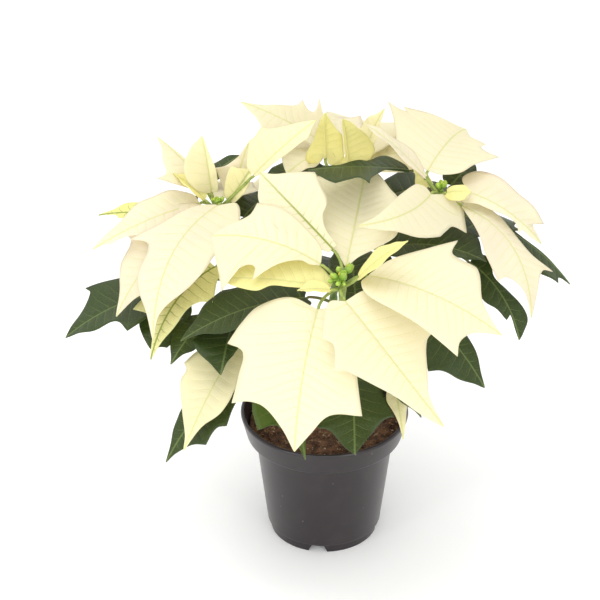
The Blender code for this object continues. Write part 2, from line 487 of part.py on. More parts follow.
def mesh_object(name, mesh):
    """Makes an object of a bmesh, or of a mesh, in the scene's own collection."""
    if isinstance(mesh, bmesh.types.BMesh):
        data = bpy.data.meshes.new(name)
        mesh.to_mesh(data)
        mesh.free()
        mesh = data
    made = bpy.data.objects.new(name, mesh)
    bpy.context.scene.collection.objects.link(made)
    return made


def remove(objects):
    for gone in list(objects):
        bpy.data.objects.remove(gone)


def evaluated_mesh(source):
    bpy.context.view_layer.update()
    graph = bpy.context.evaluated_depsgraph_get()
    return bpy.data.meshes.new_from_object(source.evaluated_get(graph))


def tube(points, radii):
    """A round stem through the points, with closed ends."""
    curve = bpy.data.curves.new("stem", "CURVE")
    curve.dimensions = "3D"
    curve.bevel_depth = MM
    curve.bevel_resolution = 2
    curve.use_fill_caps = True
    spline = curve.splines.new("POLY")
    spline.points.add(len(points) - 1)
    for place, point, radius in zip(spline.points, points, radii):
        place.co = (*(np.array(point) * MM), 1)
        place.radius = radius
    drawn = bpy.data.objects.new("stem", curve)
    bpy.context.scene.collection.objects.link(drawn)
    data = evaluated_mesh(drawn)
    remove([drawn])
    mesh = bmesh.new()
    mesh.from_mesh(data)
    bmesh.ops.remove_doubles(mesh, verts=mesh.verts, dist=1e-6)
    bmesh.ops.triangulate(mesh, faces=mesh.faces)
    bmesh.ops.recalc_face_normals(mesh, faces=mesh.faces)
    return mesh_object("stem", mesh)


def turned(name, profile):
    """A solid turned about the upright axis from an open profile of (radius, height)."""
    data = bpy.data.meshes.new(name)
    edges = [(i, i + 1) for i in range(len(profile) - 1)]
    data.from_pydata([(radius * MM, 0, height * MM) for radius, height in profile], edges, [])
    made = mesh_object(name, data)
    screw = made.modifiers.new("turn", "SCREW")
    screw.steps = POT_STEPS
    screw.render_steps = POT_STEPS
    screw.use_merge_vertices = True
    screw.merge_threshold = 1e-5
    return made


def boolean(target, objects, operation):
    """Cuts the objects from the target, or joins them to it, and removes them."""
    group = bpy.data.collections.new("tools")
    bpy.context.scene.collection.children.link(group)
    for other in objects:
        group.objects.link(other)
    step = target.modifiers.new("step", "BOOLEAN")
    step.operation = operation
    step.operand_type = "COLLECTION"
    step.collection = group
    step.solver = "EXACT"
    target.data = evaluated_mesh(target)
    target.modifiers.clear()
    remove(objects)
    bpy.data.collections.remove(group)
    return target


def finish(made, name, colour, smooth=True):
    made.name = name
    made.data.name = name
    made.data.materials.clear()
    made.data.materials.append(material_for(colour))
    made.data.polygons.foreach_set("use_smooth", [smooth] * len(made.data.polygons))
    for collection in list(made.users_collection):
        collection.objects.unlink(made)
    bpy.data.collections["poinsettia"].objects.link(made)
    return made


def shoot_path(shoot):
    """A function from how far up the shoot (0 to 1) to the point on its middle line."""
    fork = np.array(FORK)
    hub = np.array(HUBS[shoot])
    rise = np.array((0, 0, (hub - fork)[2]))
    spread = hub - fork - rise
    knots = [fork, fork + spread * 0.5 + rise * 0.28, hub - rise * 0.45, hub]
    t = np.linspace(0, 1, 41)[:, None]
    points = (knots[0] * (1 - t) ** 3 + knots[1] * 3 * t * (1 - t) ** 2
              + knots[2] * 3 * t**2 * (1 - t) + knots[3] * t**3)
    gone = np.concatenate([[0], np.cumsum(np.linalg.norm(np.diff(points, axis=0), axis=1))])
    length = gone[-1]

    def at(part):
        return np.array([np.interp(part * length, gone, points[:, k]) for k in range(3)])

    return length, at


def stem_between(shoot, first, last, first_radius, last_radius, steps):
    length, at = shoot_path(shoot)
    parts = np.linspace(first, last, steps + 1)
    radii = np.linspace(first_radius, last_radius, steps + 1)
    return tube([at(part) for part in parts], radii)


def petiole_root(blade):
    """Where the petiole leaves its shoot: bracts leave just under the hub."""
    length, at = shoot_path(blade.shoot)
    if blade.root >= 1:
        return at(1 - BRACT_DROP / length)
    highest = 1 - (PEDUNCLE + LEAF_DROP) / length
    return at(min(blade.root, highest))


def make_pot():
    inner_floor = FLOOR_UNDER + WALL
    lip_bottom = POT_HEIGHT - LIP_HEIGHT
    foot_inside = FOOT_RADIUS - WALL * 1.4
    pot = turned("pot", [
        (0, inner_floor),
        (LOWER_WALL_RADIUS - WALL, inner_floor),
        (SHOULDER_RADIUS - WALL, lip_bottom - 1),
        (LIP_FOOT_RADIUS - WALL * 1.6, lip_bottom + WALL + 1),
        (RIM_RADIUS - WALL * 1.7, POT_HEIGHT - 2.5),
        (RIM_RADIUS - WALL * 1.5, POT_HEIGHT - 0.6),
        (RIM_RADIUS - WALL, POT_HEIGHT),
        (RIM_RADIUS - 0.6, POT_HEIGHT - 0.5),
        (RIM_RADIUS, POT_HEIGHT - 2),
        (RIM_RADIUS - 0.7, POT_HEIGHT - 4.5),
        (LIP_FOOT_RADIUS, lip_bottom + 0.8),
        (LIP_FOOT_RADIUS - 0.8, lip_bottom),
        (SHOULDER_RADIUS, lip_bottom - 3),
        (LOWER_WALL_RADIUS, FOOT_HEIGHT),
        (FOOT_RADIUS, FOOT_HEIGHT - 1),
        (FOOT_RADIUS - 0.4, 0),
        (foot_inside, 0),
        (foot_inside - 0.5, FLOOR_UNDER),
        (PAD_RADIUS + 1, FLOOR_UNDER),
        (PAD_RADIUS, 0),
        (0, 0),
    ])
    cutters = []
    for quarter in range(4):
        angle = math.radians(NOTCH_TURN + 90 * quarter)
        ahead = Vector((math.cos(angle), math.sin(angle), 0))
        across = Vector((-ahead.y, ahead.x, 0))
        rings = []
        for reach in (FOOT_RADIUS - 12, FOOT_RADIUS + 8):
            ring = [(-NOTCH_WIDTH / 2 - 0.8, -1), (NOTCH_WIDTH / 2 + 0.8, -1),
                    (NOTCH_TOP / 2, NOTCH_HEIGHT), (-NOTCH_TOP / 2, NOTCH_HEIGHT)]
            rings.append([np.array(ahead * reach + across * x + Vector((0, 0, z)))
                          for x, z in ring])
        cutters.append(mesh_object("cutter", prism(rings)))
        turn = math.radians(NOTCH_TURN + 45 + 90 * quarter)
        bpy.ops.mesh.primitive_cylinder_add(
            vertices=12, radius=DRAIN_RADIUS * MM, depth=20 * MM,
            location=(DRAIN_REACH * MM * math.cos(turn), DRAIN_REACH * MM * math.sin(turn), 8 * MM),
        )
        cutters.append(bpy.context.object)
    boolean(pot, cutters, "DIFFERENCE")
    return finish(pot, "pot", "pot")


def prism(rings):
    """A closed mesh between two flat rings of four points."""
    mesh = bmesh.new()
    near, far = [[mesh.verts.new(point * MM) for point in ring] for ring in rings]
    mesh.faces.new(near)
    mesh.faces.new(far)
    for i in range(4):
        mesh.faces.new((near[i], near[(i + 1) % 4], far[(i + 1) % 4], far[i]))
    bmesh.ops.recalc_face_normals(mesh, faces=mesh.faces)
    return mesh


def make_soil():
    inner_floor = FLOOR_UNDER + WALL
    lip_bottom = POT_HEIGHT - LIP_HEIGHT
    wall = WALL + GAP
    slope = (RIM_RADIUS - WALL * 1.7 - LIP_FOOT_RADIUS + WALL * 1.6) / (LIP_HEIGHT - WALL - 3.5)
    side = LIP_FOOT_RADIUS - WALL * 1.6 + slope * (SOIL_SIDE_TOP - lip_bottom - WALL - 1)
    soil = turned("soil", [
        (0, SOIL_CROWN),
        (20, SOIL_CROWN - 0.6),
        (44, SOIL_CROWN - 2.2),
        (side - GAP, SOIL_SIDE_TOP),
        (LIP_FOOT_RADIUS - WALL * 1.6 - GAP, lip_bottom + WALL + 1 + GAP / 2),
        (SHOULDER_RADIUS - wall, lip_bottom - 1 + GAP / 2),
        (LOWER_WALL_RADIUS - wall, inner_floor + GAP),
        (0, inner_floor + GAP),
    ])
    bpy.ops.mesh.primitive_cylinder_add(
        vertices=16, radius=(STEM_RADIUS + GAP) * MM, depth=2 * STEM_HOLE_DEPTH * MM,
        location=(0, 0, SOIL_CROWN * MM),
    )
    boolean(soil, [bpy.context.object], "DIFFERENCE")
    return finish(soil, "soil", "soil")


def make_main_stem():
    foot = SOIL_CROWN - STEM_HOLE_DEPTH + GAP
    fork = np.array(FORK)
    trunk = tube([(0, 0, foot), (0, 0, fork[2] - 12), fork + (0, 0, 2)],
                 (STEM_RADIUS, STEM_RADIUS, STEM_RADIUS * 0.9))
    stubs = [stem_between(shoot, 0, STUB_END, FORK_RADIUS, SHOOT_RADIUS, 3)
             for shoot in HUBS]
    return finish(boolean(trunk, stubs, "UNION"), "main_stem", "wood")


def make_shoot(shoot):
    length, at = shoot_path(shoot)
    first = STUB_END + NODE_GAP / length
    last = 1 - (PEDUNCLE + NODE_GAP) / length
    stem = stem_between(shoot, first, last, SHOOT_RADIUS, TOP_RADIUS, 8)
    blades = [mesh_object(blade.name, loft(blade_rings(blade, petiole_root(blade))))
              for blade in LEAVES if blade.shoot == shoot]
    return finish(boolean(stem, blades, "UNION"), "shoot_" + shoot, "leaf")


def make_bloom(shoot):
    length, at = shoot_path(shoot)
    first = 1 - PEDUNCLE / length
    stem = stem_between(shoot, first, 1, TOP_RADIUS, TOP_RADIUS, 2)
    blades = [mesh_object(blade.name, loft(blade_rings(blade, petiole_root(blade))))
              for blade in BRACTS if blade.shoot == shoot]
    return finish(boolean(stem, blades, "UNION"), "bloom_" + shoot + "_bracts", "bract")


def make_low_bract(blade):
    """A single bract low on a shoot, its petiole ending just off the bark."""
    length, at = shoot_path(blade.shoot)
    root = at(blade.root)
    outward = unit(np.array(blade.start) - root)
    root = root + outward * (SHOOT_RADIUS + GAP + NODE_GAP)
    made = mesh_object(blade.name, loft(blade_rings(blade, root)))
    return finish(made, blade.name, "variegated" if blade.kind == "variegated" else "bract")


def make_cyathia(shoot):
    """The cluster of flower cups: eggs on short stalks that join in a small cushion."""
    hub = np.array(HUBS[shoot])
    cushion_foot = hub + (0, 0, GAP)
    pieces = [tube([cushion_foot, cushion_foot + (0, 0, CUSHION_HEIGHT)],
                   (CUSHION_RADIUS, CUSHION_RADIUS))]
    for centre, radius in CYATHIA[shoot]:
        centre = np.array(centre, float)
        low = cushion_foot + (0, 0, 1.5)
        pieces.append(tube([low, centre], (CUP_STALK_RADIUS, CUP_STALK_RADIUS)))
        bpy.ops.mesh.primitive_uv_sphere_add(
            segments=8, ring_count=6, radius=radius * MM, location=centre * MM,
        )
        egg = bpy.context.object
        tilt = Vector(centre - cushion_foot).to_track_quat("Z", "Y")
        egg.rotation_mode = "QUATERNION"
        egg.rotation_quaternion = tilt
        egg.scale = CUP_SHAPE
        pieces.append(egg)
    return finish(boolean(pieces[0], pieces[1:], "UNION"), "bloom_" + shoot + "_cyathia", "cyathium")


def main():
    remove(bpy.data.objects)
    bpy.context.scene.collection.children.link(bpy.data.collections.new("poinsettia"))
    make_pot()
    make_soil()
    make_main_stem()
    for shoot in HUBS:
        make_shoot(shoot)
        make_bloom(shoot)
        make_cyathia(shoot)
    for blade in LOW_BRACTS:
        make_low_bract(blade)


if __name__ == "__main__":
    main()
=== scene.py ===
# %% [markdown]
# # A cream poinsettia in a nursery pot
# This lesson dresses the plain solids of a potted poinsettia so that they look like the
# living plant. The frame is loaded first, and everything after it sits in the same place and
# at the same size, in metres, with the pot's foot on the ground and the front towards -Y.

# %% Load the frame
import json
import math
from collections import namedtuple

import bmesh
import bpy
import numpy as np
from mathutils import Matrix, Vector
from mathutils import noise

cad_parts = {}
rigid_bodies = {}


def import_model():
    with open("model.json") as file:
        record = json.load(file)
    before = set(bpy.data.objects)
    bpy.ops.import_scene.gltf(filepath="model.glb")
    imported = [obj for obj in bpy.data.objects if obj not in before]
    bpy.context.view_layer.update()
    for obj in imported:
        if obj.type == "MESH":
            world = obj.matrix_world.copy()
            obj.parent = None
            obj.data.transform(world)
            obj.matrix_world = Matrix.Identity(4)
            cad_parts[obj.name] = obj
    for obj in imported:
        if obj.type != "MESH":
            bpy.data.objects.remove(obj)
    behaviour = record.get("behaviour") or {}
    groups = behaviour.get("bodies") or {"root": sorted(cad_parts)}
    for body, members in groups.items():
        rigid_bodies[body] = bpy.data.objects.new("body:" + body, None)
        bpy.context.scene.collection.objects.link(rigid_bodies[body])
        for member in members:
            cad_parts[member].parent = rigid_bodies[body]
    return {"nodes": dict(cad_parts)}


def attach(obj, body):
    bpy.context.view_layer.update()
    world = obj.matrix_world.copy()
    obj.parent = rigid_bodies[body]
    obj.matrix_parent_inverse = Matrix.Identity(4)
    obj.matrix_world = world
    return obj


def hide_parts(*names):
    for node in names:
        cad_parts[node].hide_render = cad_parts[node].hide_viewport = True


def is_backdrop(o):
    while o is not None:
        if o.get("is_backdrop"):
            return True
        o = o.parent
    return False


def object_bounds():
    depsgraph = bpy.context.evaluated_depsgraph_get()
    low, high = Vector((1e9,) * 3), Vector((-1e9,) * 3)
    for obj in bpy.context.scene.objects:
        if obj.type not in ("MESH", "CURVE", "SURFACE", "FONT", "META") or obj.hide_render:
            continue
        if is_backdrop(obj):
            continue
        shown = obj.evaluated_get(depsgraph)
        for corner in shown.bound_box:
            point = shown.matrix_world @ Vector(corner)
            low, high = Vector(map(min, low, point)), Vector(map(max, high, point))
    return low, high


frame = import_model()
solid_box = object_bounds()
MM = 0.001
print("solids loaded:", len(frame["nodes"]))

# %% [markdown]
# ## Camera
# The plant was photographed from a little above with a long lens, so its lines hardly
# converge. A camera can be placed by eye. Here its aim, height and lens were worked out from
# the circles of the pot's rim, lip and foot, on a pot taken to be 130 mm wide, so that lengths
# can be read off the photograph for the blades further down.

# %% Place the camera
LOOK_DOWN = math.radians(31.5)
AIM = Vector((-18.96, 0.0, 205.4)) * MM
DISTANCE = 2248.6 * MM
LENS_MM = 178.26
SENSOR_MM = 36.0
SIGHT_END = 20.0


def into_scene(name, data):
    """A new object with this data, linked into the scene."""
    made = bpy.data.objects.new(name, data)
    bpy.context.scene.collection.objects.link(made)
    return made


view_line = Vector((0.0, math.cos(LOOK_DOWN), -math.sin(LOOK_DOWN)))
camera = into_scene("camera", bpy.data.cameras.new("camera"))
camera.data.lens = LENS_MM
camera.data.sensor_width = SENSOR_MM
camera.data.clip_end = SIGHT_END
camera.location = AIM - view_line * DISTANCE
camera.rotation_euler = (math.pi / 2 - LOOK_DOWN, 0.0, 0.0)
bpy.context.scene.camera = camera
print("camera", round(DISTANCE, 2), "m away, looking down", round(math.degrees(LOOK_DOWN), 1))

# %% [markdown]
# ## Helpers for finishes
# Each finish is a small tree of shader nodes. A tree could be built in Blender's editor and
# kept in a file. Written out by these helpers, which place a node and join it up in one line,
# it reads like a recipe and can be changed with the rest of the lesson.

# %% Node helpers
def new_finish(name):
    finish = bpy.data.materials.new(name)
    finish.use_nodes = True
    tree = finish.node_tree
    tree.nodes.clear()
    return finish, tree


def put(tree, kind, inputs=None, **settings):
    """Adds a node. An input's value is a number, a colour, or another node's output."""
    node = tree.nodes.new(kind)
    for key, value in settings.items():
        setattr(node, key, value)
    for key, value in (inputs or {}).items():
        if isinstance(value, bpy.types.NodeSocket):
            tree.links.new(value, node.inputs[key])
        else:
            node.inputs[key].default_value = value
    return node


def sums(tree, operation, first, second):
    return put(tree, "ShaderNodeMath", {0: first, 1: second}, operation=operation).outputs[0]


def band(tree, value, low, high):
    """Rises smoothly from 0 at low to 1 at high, or falls where low is above high."""
    rise = low < high
    ends = {1: low, 2: high, 3: 0.0, 4: 1.0} if rise else {1: high, 2: low, 3: 1.0, 4: 0.0}
    node = put(tree, "ShaderNodeMapRange", {0: value, **ends}, interpolation_type="SMOOTHSTEP")
    return node.outputs[0]


def blend(tree, amount, first, second):
    node = put(tree, "ShaderNodeMix", {0: amount, 6: first, 7: second}, data_type="RGBA")
    return node.outputs[2]


def written(tree, name):
    """A number that the mesh carries at each of its points."""
    return put(tree, "ShaderNodeAttribute", attribute_name=name).outputs["Fac"]


def own_place(tree):
    """Where a point lies on its own object, so that a pattern stays fixed to it."""
    return put(tree, "ShaderNodeTexCoord").outputs["Object"]


def rough_noise(tree, scale, detail=3.0):
    inputs = {"Vector": own_place(tree), "Scale": scale, "Detail": detail}
    return put(tree, "ShaderNodeTexNoise", inputs).outputs[0]


def raised(tree, height, strength, depth):
    inputs = {"Height": height, "Strength": strength, "Distance": depth}
    return put(tree, "ShaderNodeBump", inputs).outputs[0]


def skin_of(tree, colour, roughness, normal):
    inputs = {"Base Color": colour, "Roughness": roughness, "Normal": normal}
    return put(tree, "ShaderNodeBsdfPrincipled", inputs)


def show(tree, shader):
    put(tree, "ShaderNodeOutputMaterial", {"Surface": shader.outputs[0]})


print("helpers ready")

# %% [markdown]
# ## The finish of bracts and leaves
# A poinsettia's bract is a leaf that has lost its green. Both have a midrib, side veins that
# leave it in pairs, and a fine net between them. Veins could come from a picture laid over
# each blade, which would blur from close by and repeat from blade to blade. Here the mesh
# carries how far a point is along the row of side veins, how far it is from the midrib, and
# how young the bract is, so one recipe draws them all, and each finish only has its own
# colours. A thin blade also lets light through, which a Translucent shader mixed in gives it.

# %% Blade finish
VEIN_WIDTH = 0.045
VEIN_TAPER = 1.25
VEIN_SOFT = (1.6, 0.2)
VEIN_FADE = (1.02, 0.55)
RIB_MM = (1.0, 0.35)
NET_SCALE = 330.0
NET_SOFT = (0.09, 0.0)
RIB_GREEN = (0.36, 0.44, 0.07, 1)
GREEN_RIB_MM = (1.2, 0.5)
GREEN_RIB_ROWS = (14.0, 2.0)
GREEN_FEET_MM = (5.0, 1.5)
GREEN_FEET_ROWS = (7.0, 4.0)
GREEN_FEET_SOFT = (0.09, 0.03)
GREEN_FEET_SHOW = 0.4


def to_vein(tree):
    """How far a point is from the next side vein, where 0.5 is half way between two."""
    return sums(tree, "PINGPONG", written(tree, "vein_row"), 0.5)


def green_lines(tree):
    """A mask for a midrib that stayed green, with the feet of its side veins."""
    out = written(tree, "out_mm")
    row = written(tree, "vein_row")
    rib = sums(tree, "MULTIPLY", band(tree, out, *GREEN_RIB_MM), band(tree, row, *GREEN_RIB_ROWS))
    feet = sums(tree, "MULTIPLY", band(tree, out, *GREEN_FEET_MM),
                band(tree, row, *GREEN_FEET_ROWS))
    feet = sums(tree, "MULTIPLY", feet, band(tree, to_vein(tree), *GREEN_FEET_SOFT))
    return sums(tree, "MAXIMUM", rib, sums(tree, "MULTIPLY", feet, GREEN_FEET_SHOW))


def vein_lines(tree):
    """Masks for the side veins, for the midrib and for the net between them."""
    across = written(tree, "across")
    width = sums(tree, "MULTIPLY", sums(tree, "SUBTRACT", VEIN_TAPER, across), VEIN_WIDTH)
    side = band(tree, sums(tree, "DIVIDE", to_vein(tree), width), *VEIN_SOFT)
    side = sums(tree, "MULTIPLY", side, band(tree, across, *VEIN_FADE))
    rib = band(tree, written(tree, "out_mm"), *RIB_MM)
    cells = put(tree, "ShaderNodeTexVoronoi", {"Vector": own_place(tree), "Scale": NET_SCALE},
                feature="DISTANCE_TO_EDGE")
    return side, rib, band(tree, cells.outputs[0], *NET_SOFT)


print("masks for side veins, midrib and net")

# %% [markdown]
# The finish mixes its colours from the ground up: the body, yellower where the blade is young
# and rosier in clouds and at the rim, then the net, the side veins and the midrib over it. A
# leaf also gets a paler back. One painted picture could hold all this, but masks that are
# mixed one after another can each be tuned by a single number.

# %% Mix the blade finish
ROSY_SHOW = 0.7
ROSY_RIM = (0.90, 1.0)
BACK_SHOW = 0.85


def blade_finish(name, body, vein, young, edge, see_through, roughness, vein_show, net_show,
                 rib_show, back=None):
    finish, tree = new_finish(name)
    side, rib, net = vein_lines(tree)
    fresh = written(tree, "fresh")
    green = written(tree, "green")
    blush = written(tree, "blush")
    across = written(tree, "across")
    cloud = rough_noise(tree, 28.0)
    colour = blend(tree, fresh, body, young)
    rosy = sums(tree, "MULTIPLY", blush, band(tree, cloud, 0.35, 0.65))
    colour = blend(tree, sums(tree, "MULTIPLY", rosy, ROSY_SHOW), colour, edge)
    rim = sums(tree, "MULTIPLY", band(tree, across, *ROSY_RIM), blush)
    colour = blend(tree, sums(tree, "MULTIPLY", rim, ROSY_SHOW), colour, edge)
    colour = blend(tree, sums(tree, "MULTIPLY", net, net_show), colour, vein)
    colour = blend(tree, sums(tree, "MULTIPLY", side, vein_show), colour, vein)
    colour = blend(tree, sums(tree, "MULTIPLY", rib, rib_show), colour, vein)
    colour = blend(tree, sums(tree, "MULTIPLY", green_lines(tree), green), colour, RIB_GREEN)
    if back is not None:
        under = sums(tree, "GREATER_THAN", written(tree, "under"), 0.5)
        colour = blend(tree, sums(tree, "MULTIPLY", under, BACK_SHOW), colour, back)
    grooves = sums(tree, "MULTIPLY", side, -0.8)
    netting = sums(tree, "MULTIPLY", net, -0.25)
    pores = sums(tree, "MULTIPLY", rough_noise(tree, 900.0), 0.25)
    relief = sums(tree, "ADD", sums(tree, "ADD", grooves, netting), pores)
    bump = raised(tree, relief, 0.45, 0.0004)
    shine = sums(tree, "ADD", sums(tree, "MULTIPLY", cloud, 0.16), roughness - 0.08)
    skin = skin_of(tree, colour, shine, bump)
    skin.inputs["Specular IOR Level"].default_value = 0.35
    glow = put(tree, "ShaderNodeBsdfTranslucent", {"Color": colour, "Normal": bump})
    parts = {0: see_through, 1: skin.outputs[0], 2: glow.outputs[0]}
    show(tree, put(tree, "ShaderNodeMixShader", parts))
    return finish


cream_bract = blade_finish(
    "cream_bract", body=(0.91, 0.86, 0.665, 1), vein=(0.76, 0.77, 0.36, 1),
    young=(0.93, 0.88, 0.34, 1), edge=(0.91, 0.77, 0.66, 1), see_through=0.38, roughness=0.55,
    vein_show=0.42, net_show=0.14, rib_show=0.75)
dark_leaf = blade_finish(
    "dark_leaf", body=(0.030, 0.050, 0.009, 1), vein=(0.13, 0.18, 0.05, 1),
    young=(0.060, 0.100, 0.012, 1), edge=(0.05, 0.04, 0.01, 1), see_through=0.10,
    roughness=0.46, vein_show=0.5, net_show=0.16, rib_show=0.85, back=(0.09, 0.13, 0.05, 1))
print("blade finishes:", cream_bract.name, dark_leaf.name)

# %% [markdown]
# The half-green bract low on the left turned yellow only between its veins. A second recipe
# could draw it, but the same one does, with thin green veins on yellow.

# %% Variegated finish
half_green_bract = blade_finish(
    "half_green_bract", body=(0.95, 0.92, 0.56, 1), vein=(0.36, 0.44, 0.08, 1),
    young=(0.90, 0.88, 0.36, 1), edge=(0.60, 0.64, 0.18, 1), see_through=0.5,
    roughness=0.5, vein_show=0.7, net_show=0.16, rib_show=0.9)
print("variegated finish:", half_green_bract.name)

# %% [markdown]
# ## The finish of stalks
# Leaf stalks and young stems are smooth, pale green and slightly mottled, and the old wood at
# the bottom is grey-brown and rougher. A plain colour would look like plastic from close by,
# so a fine noise mixes two near colours and raises the surface a little.

# %% Stalk finishes
def stalk_finish(name, pale, deep, roughness):
    finish, tree = new_finish(name)
    mottle = rough_noise(tree, 260.0, 4.0)
    colour = blend(tree, band(tree, mottle, 0.3, 0.7), pale, deep)
    show(tree, skin_of(tree, colour, roughness, raised(tree, mottle, 0.3, 0.0005)))
    return finish


bract_stalk = stalk_finish("bract_stalk", (0.34, 0.40, 0.09, 1), (0.20, 0.27, 0.05, 1), 0.45)
leaf_stalk = stalk_finish("leaf_stalk", (0.12, 0.17, 0.04, 1), (0.13, 0.10, 0.04, 1), 0.5)
green_stem = stalk_finish("green_stem", (0.16, 0.24, 0.06, 1), (0.08, 0.14, 0.03, 1), 0.5)
old_wood = stalk_finish("old_wood", (0.16, 0.12, 0.07, 1), (0.08, 0.06, 0.035, 1), 0.8)
print("stalk finishes ready")

# %% [markdown]
# ## The shape of a blade
# A blade grows from the end of its stalk to its tip. It is rolled about its midrib, arched,
# swayed, and folded up along the midrib. Each half has its own outline, as points along and
# out, in parts of the blade's length, where a 1 marks a sharp tooth. Blades could be cut from
# a flat card or sculpted one by one. A formula for the surface and a few outline points keep
# all 66 alike in kind and different in detail, and each can be set from the photograph.

# %% Blade surface and outline
Blade = namedtuple(
    "Blade", "name look start tip roll arch sway fold left right root", defaults=(1.0,))

OVAL = ((-0.02, 0.10), (0.12, 0.26), (0.36, 0.33), (0.65, 0.22), (0.87, 0.07))
SLIM = ((0.0, 0.06), (0.20, 0.15), (0.48, 0.19), (0.76, 0.11), (0.92, 0.03))
HALF_CUP = ((0.0, 0.08), (0.16, 0.25), (0.42, 0.34), (0.70, 0.22), (0.90, 0.06))
HIGH_TOOTH = ((-0.03, 0.12), (0.10, 0.30), (0.31, 0.44, 1), (0.34, 0.34), (0.60, 0.25),
              (0.86, 0.07))
MID_TOOTH = ((-0.02, 0.12), (0.14, 0.27), (0.48, 0.38, 1), (0.50, 0.28), (0.68, 0.20),
             (0.88, 0.06))
TWO_TEETH = ((-0.04, 0.18), (0.08, 0.36), (0.35, 0.50, 1), (0.39, 0.40), (0.54, 0.39),
             (0.71, 0.41, 1), (0.71, 0.26), (0.86, 0.08))
STALK_HALF_WIDTH = 1.3
TIP_HALF_WIDTH = 0.35
OUTLINE_STEPS = 12
ROOT_SLANT = 0.25
TIP_SLANT = 0.5
EVEN_SHARE = 0.25


def unit(vector):
    return vector / np.linalg.norm(vector, axis=-1, keepdims=True)


def blade_surface(blade):
    """The blade's length, and a function from along (0 to 1) and out (mm, left is positive)
    to points and normals. Arch and sway are parts of the length and greatest half way."""
    start = np.array(blade.start, float)
    chord = np.array(blade.tip, float) - start
    length = float(np.linalg.norm(chord))
    ahead = chord / length
    flat_up = unit(np.array((0.0, 0.0, 1.0)) - ahead * ahead[2])
    flat_side = np.cross(flat_up, ahead)
    roll = math.radians(blade.roll)
    up = flat_up * math.cos(roll) + flat_side * math.sin(roll)
    side = np.cross(up, ahead)
    bend = blade.arch * up + blade.sway * side
    fold = math.radians(blade.fold)

    def at(along, out):
        x = np.asarray(along, float)[..., None]
        y = np.asarray(out, float)[..., None]
        middle = start + chord * x + bend * (length * 4 * x * (1 - x))
        direction = unit(chord + bend * (length * 4 * (1 - 2 * x)))
        normal = unit(up - direction * (direction @ up)[..., None])
        left = np.cross(normal, direction)
        points = middle + left * (y * math.cos(fold)) + normal * (np.abs(y) * math.sin(fold))
        return points, normal

    return length, at


def half_outline(knots, length):
    """Station, along and out of a dense half outline. A station is where the side vein that
    reaches an edge point leaves the midrib."""
    knots = [tuple(knot) + (0,) * (3 - len(knot)) for knot in knots]
    foot = (0.0, STALK_HALF_WIDTH / length, 1)
    tip = (1.0, TIP_HALF_WIDTH / length, 1)
    points = [foot] + knots + [tip]
    places = np.array([point[:2] for point in points])
    sharp = [point[2] for point in points]
    curve = [places[0]]
    for i in range(len(points) - 1):
        span = places[i + 1] - places[i]
        reach = np.linalg.norm(span)
        leave = span if sharp[i] else unit(places[i + 1] - places[i - 1]) * reach
        arrive = span if sharp[i + 1] else unit(places[i + 2] - places[i]) * reach
        for k in range(1, OUTLINE_STEPS + 1):
            t = k / OUTLINE_STEPS
            curve.append(
                places[i] * (2 * t**3 - 3 * t**2 + 1) + leave * (t**3 - 2 * t**2 + t)
                + places[i + 1] * (3 * t**2 - 2 * t**3) + arrive * (t**3 - t**2)
            )
    along, out = np.array(curve).T
    slanted = along - out * (ROOT_SLANT + TIP_SLANT * along)
    vein_foot = np.maximum.accumulate(np.clip(slanted, 0, 1))
    arc = np.concatenate([[0], np.cumsum(np.hypot(np.diff(along), np.diff(out)))])
    station = (1 - EVEN_SHARE) * vein_foot / vein_foot[-1] + EVEN_SHARE * arc / arc[-1]
    return station, along, out, arc * length


print("a blade has a surface and an outline")

# %% [markdown]
# ## Looks
# Bracts on one plant differ: old ones are flat and faintly rosy, young ones yellow-green and
# puckered. Every blade could have numbers of its own for that. Named looks are shorter, and
# can be tuned for all their blades at once. A look sets how fresh and how rosy a blade is, how
# high it is quilted between its veins and how much its edge waves, in millimetres, how green
# its midrib stayed, and which of the piece's finishes it wears.

# %% Looks of blades
Look = namedtuple("Look", "fresh blush quilt wave green skin", defaults=(0.0, 0))
LOOKS = {
    "cream": Look(0.05, 0.06, 0.32, 1.0),
    "rosy": Look(0.0, 0.40, 0.35, 1.2),
    "puckered": Look(0.08, 0.10, 0.8, 1.4),
    "green_ribbed": Look(0.05, 0.05, 0.4, 1.0, 0.9),
    "pale": Look(0.22, 0.0, 0.35, 1.0),
    "young": Look(0.75, 0.0, 0.45, 0.6),
    "lime": Look(1.0, 0.0, 0.5, 0.8, 0.3),
    "soft_green": Look(0.45, 0.0, 0.4, 0.8, 0.4),
    "leaf": Look(0.1, 0.0, 0.5, 1.4),
    "bright_leaf": Look(1.0, 0.0, 0.6, 1.4),
    "yellow_leaf": Look(0.6, 0.0, 0.5, 1.2, 0.5, 3),
    "half_green": Look(0.2, 0.1, 0.6, 1.0, 0.6),
}
print("looks:", ", ".join(LOOKS))

# %% [markdown]
# ## Gathering a piece
# A bloom or a leafy shoot is one piece on the plant, and one mesh here. Its blades could be
# separate objects joined at the end. It is quicker to gather all points and faces first and
# make the mesh once, with the numbers that the finish reads written at each point.

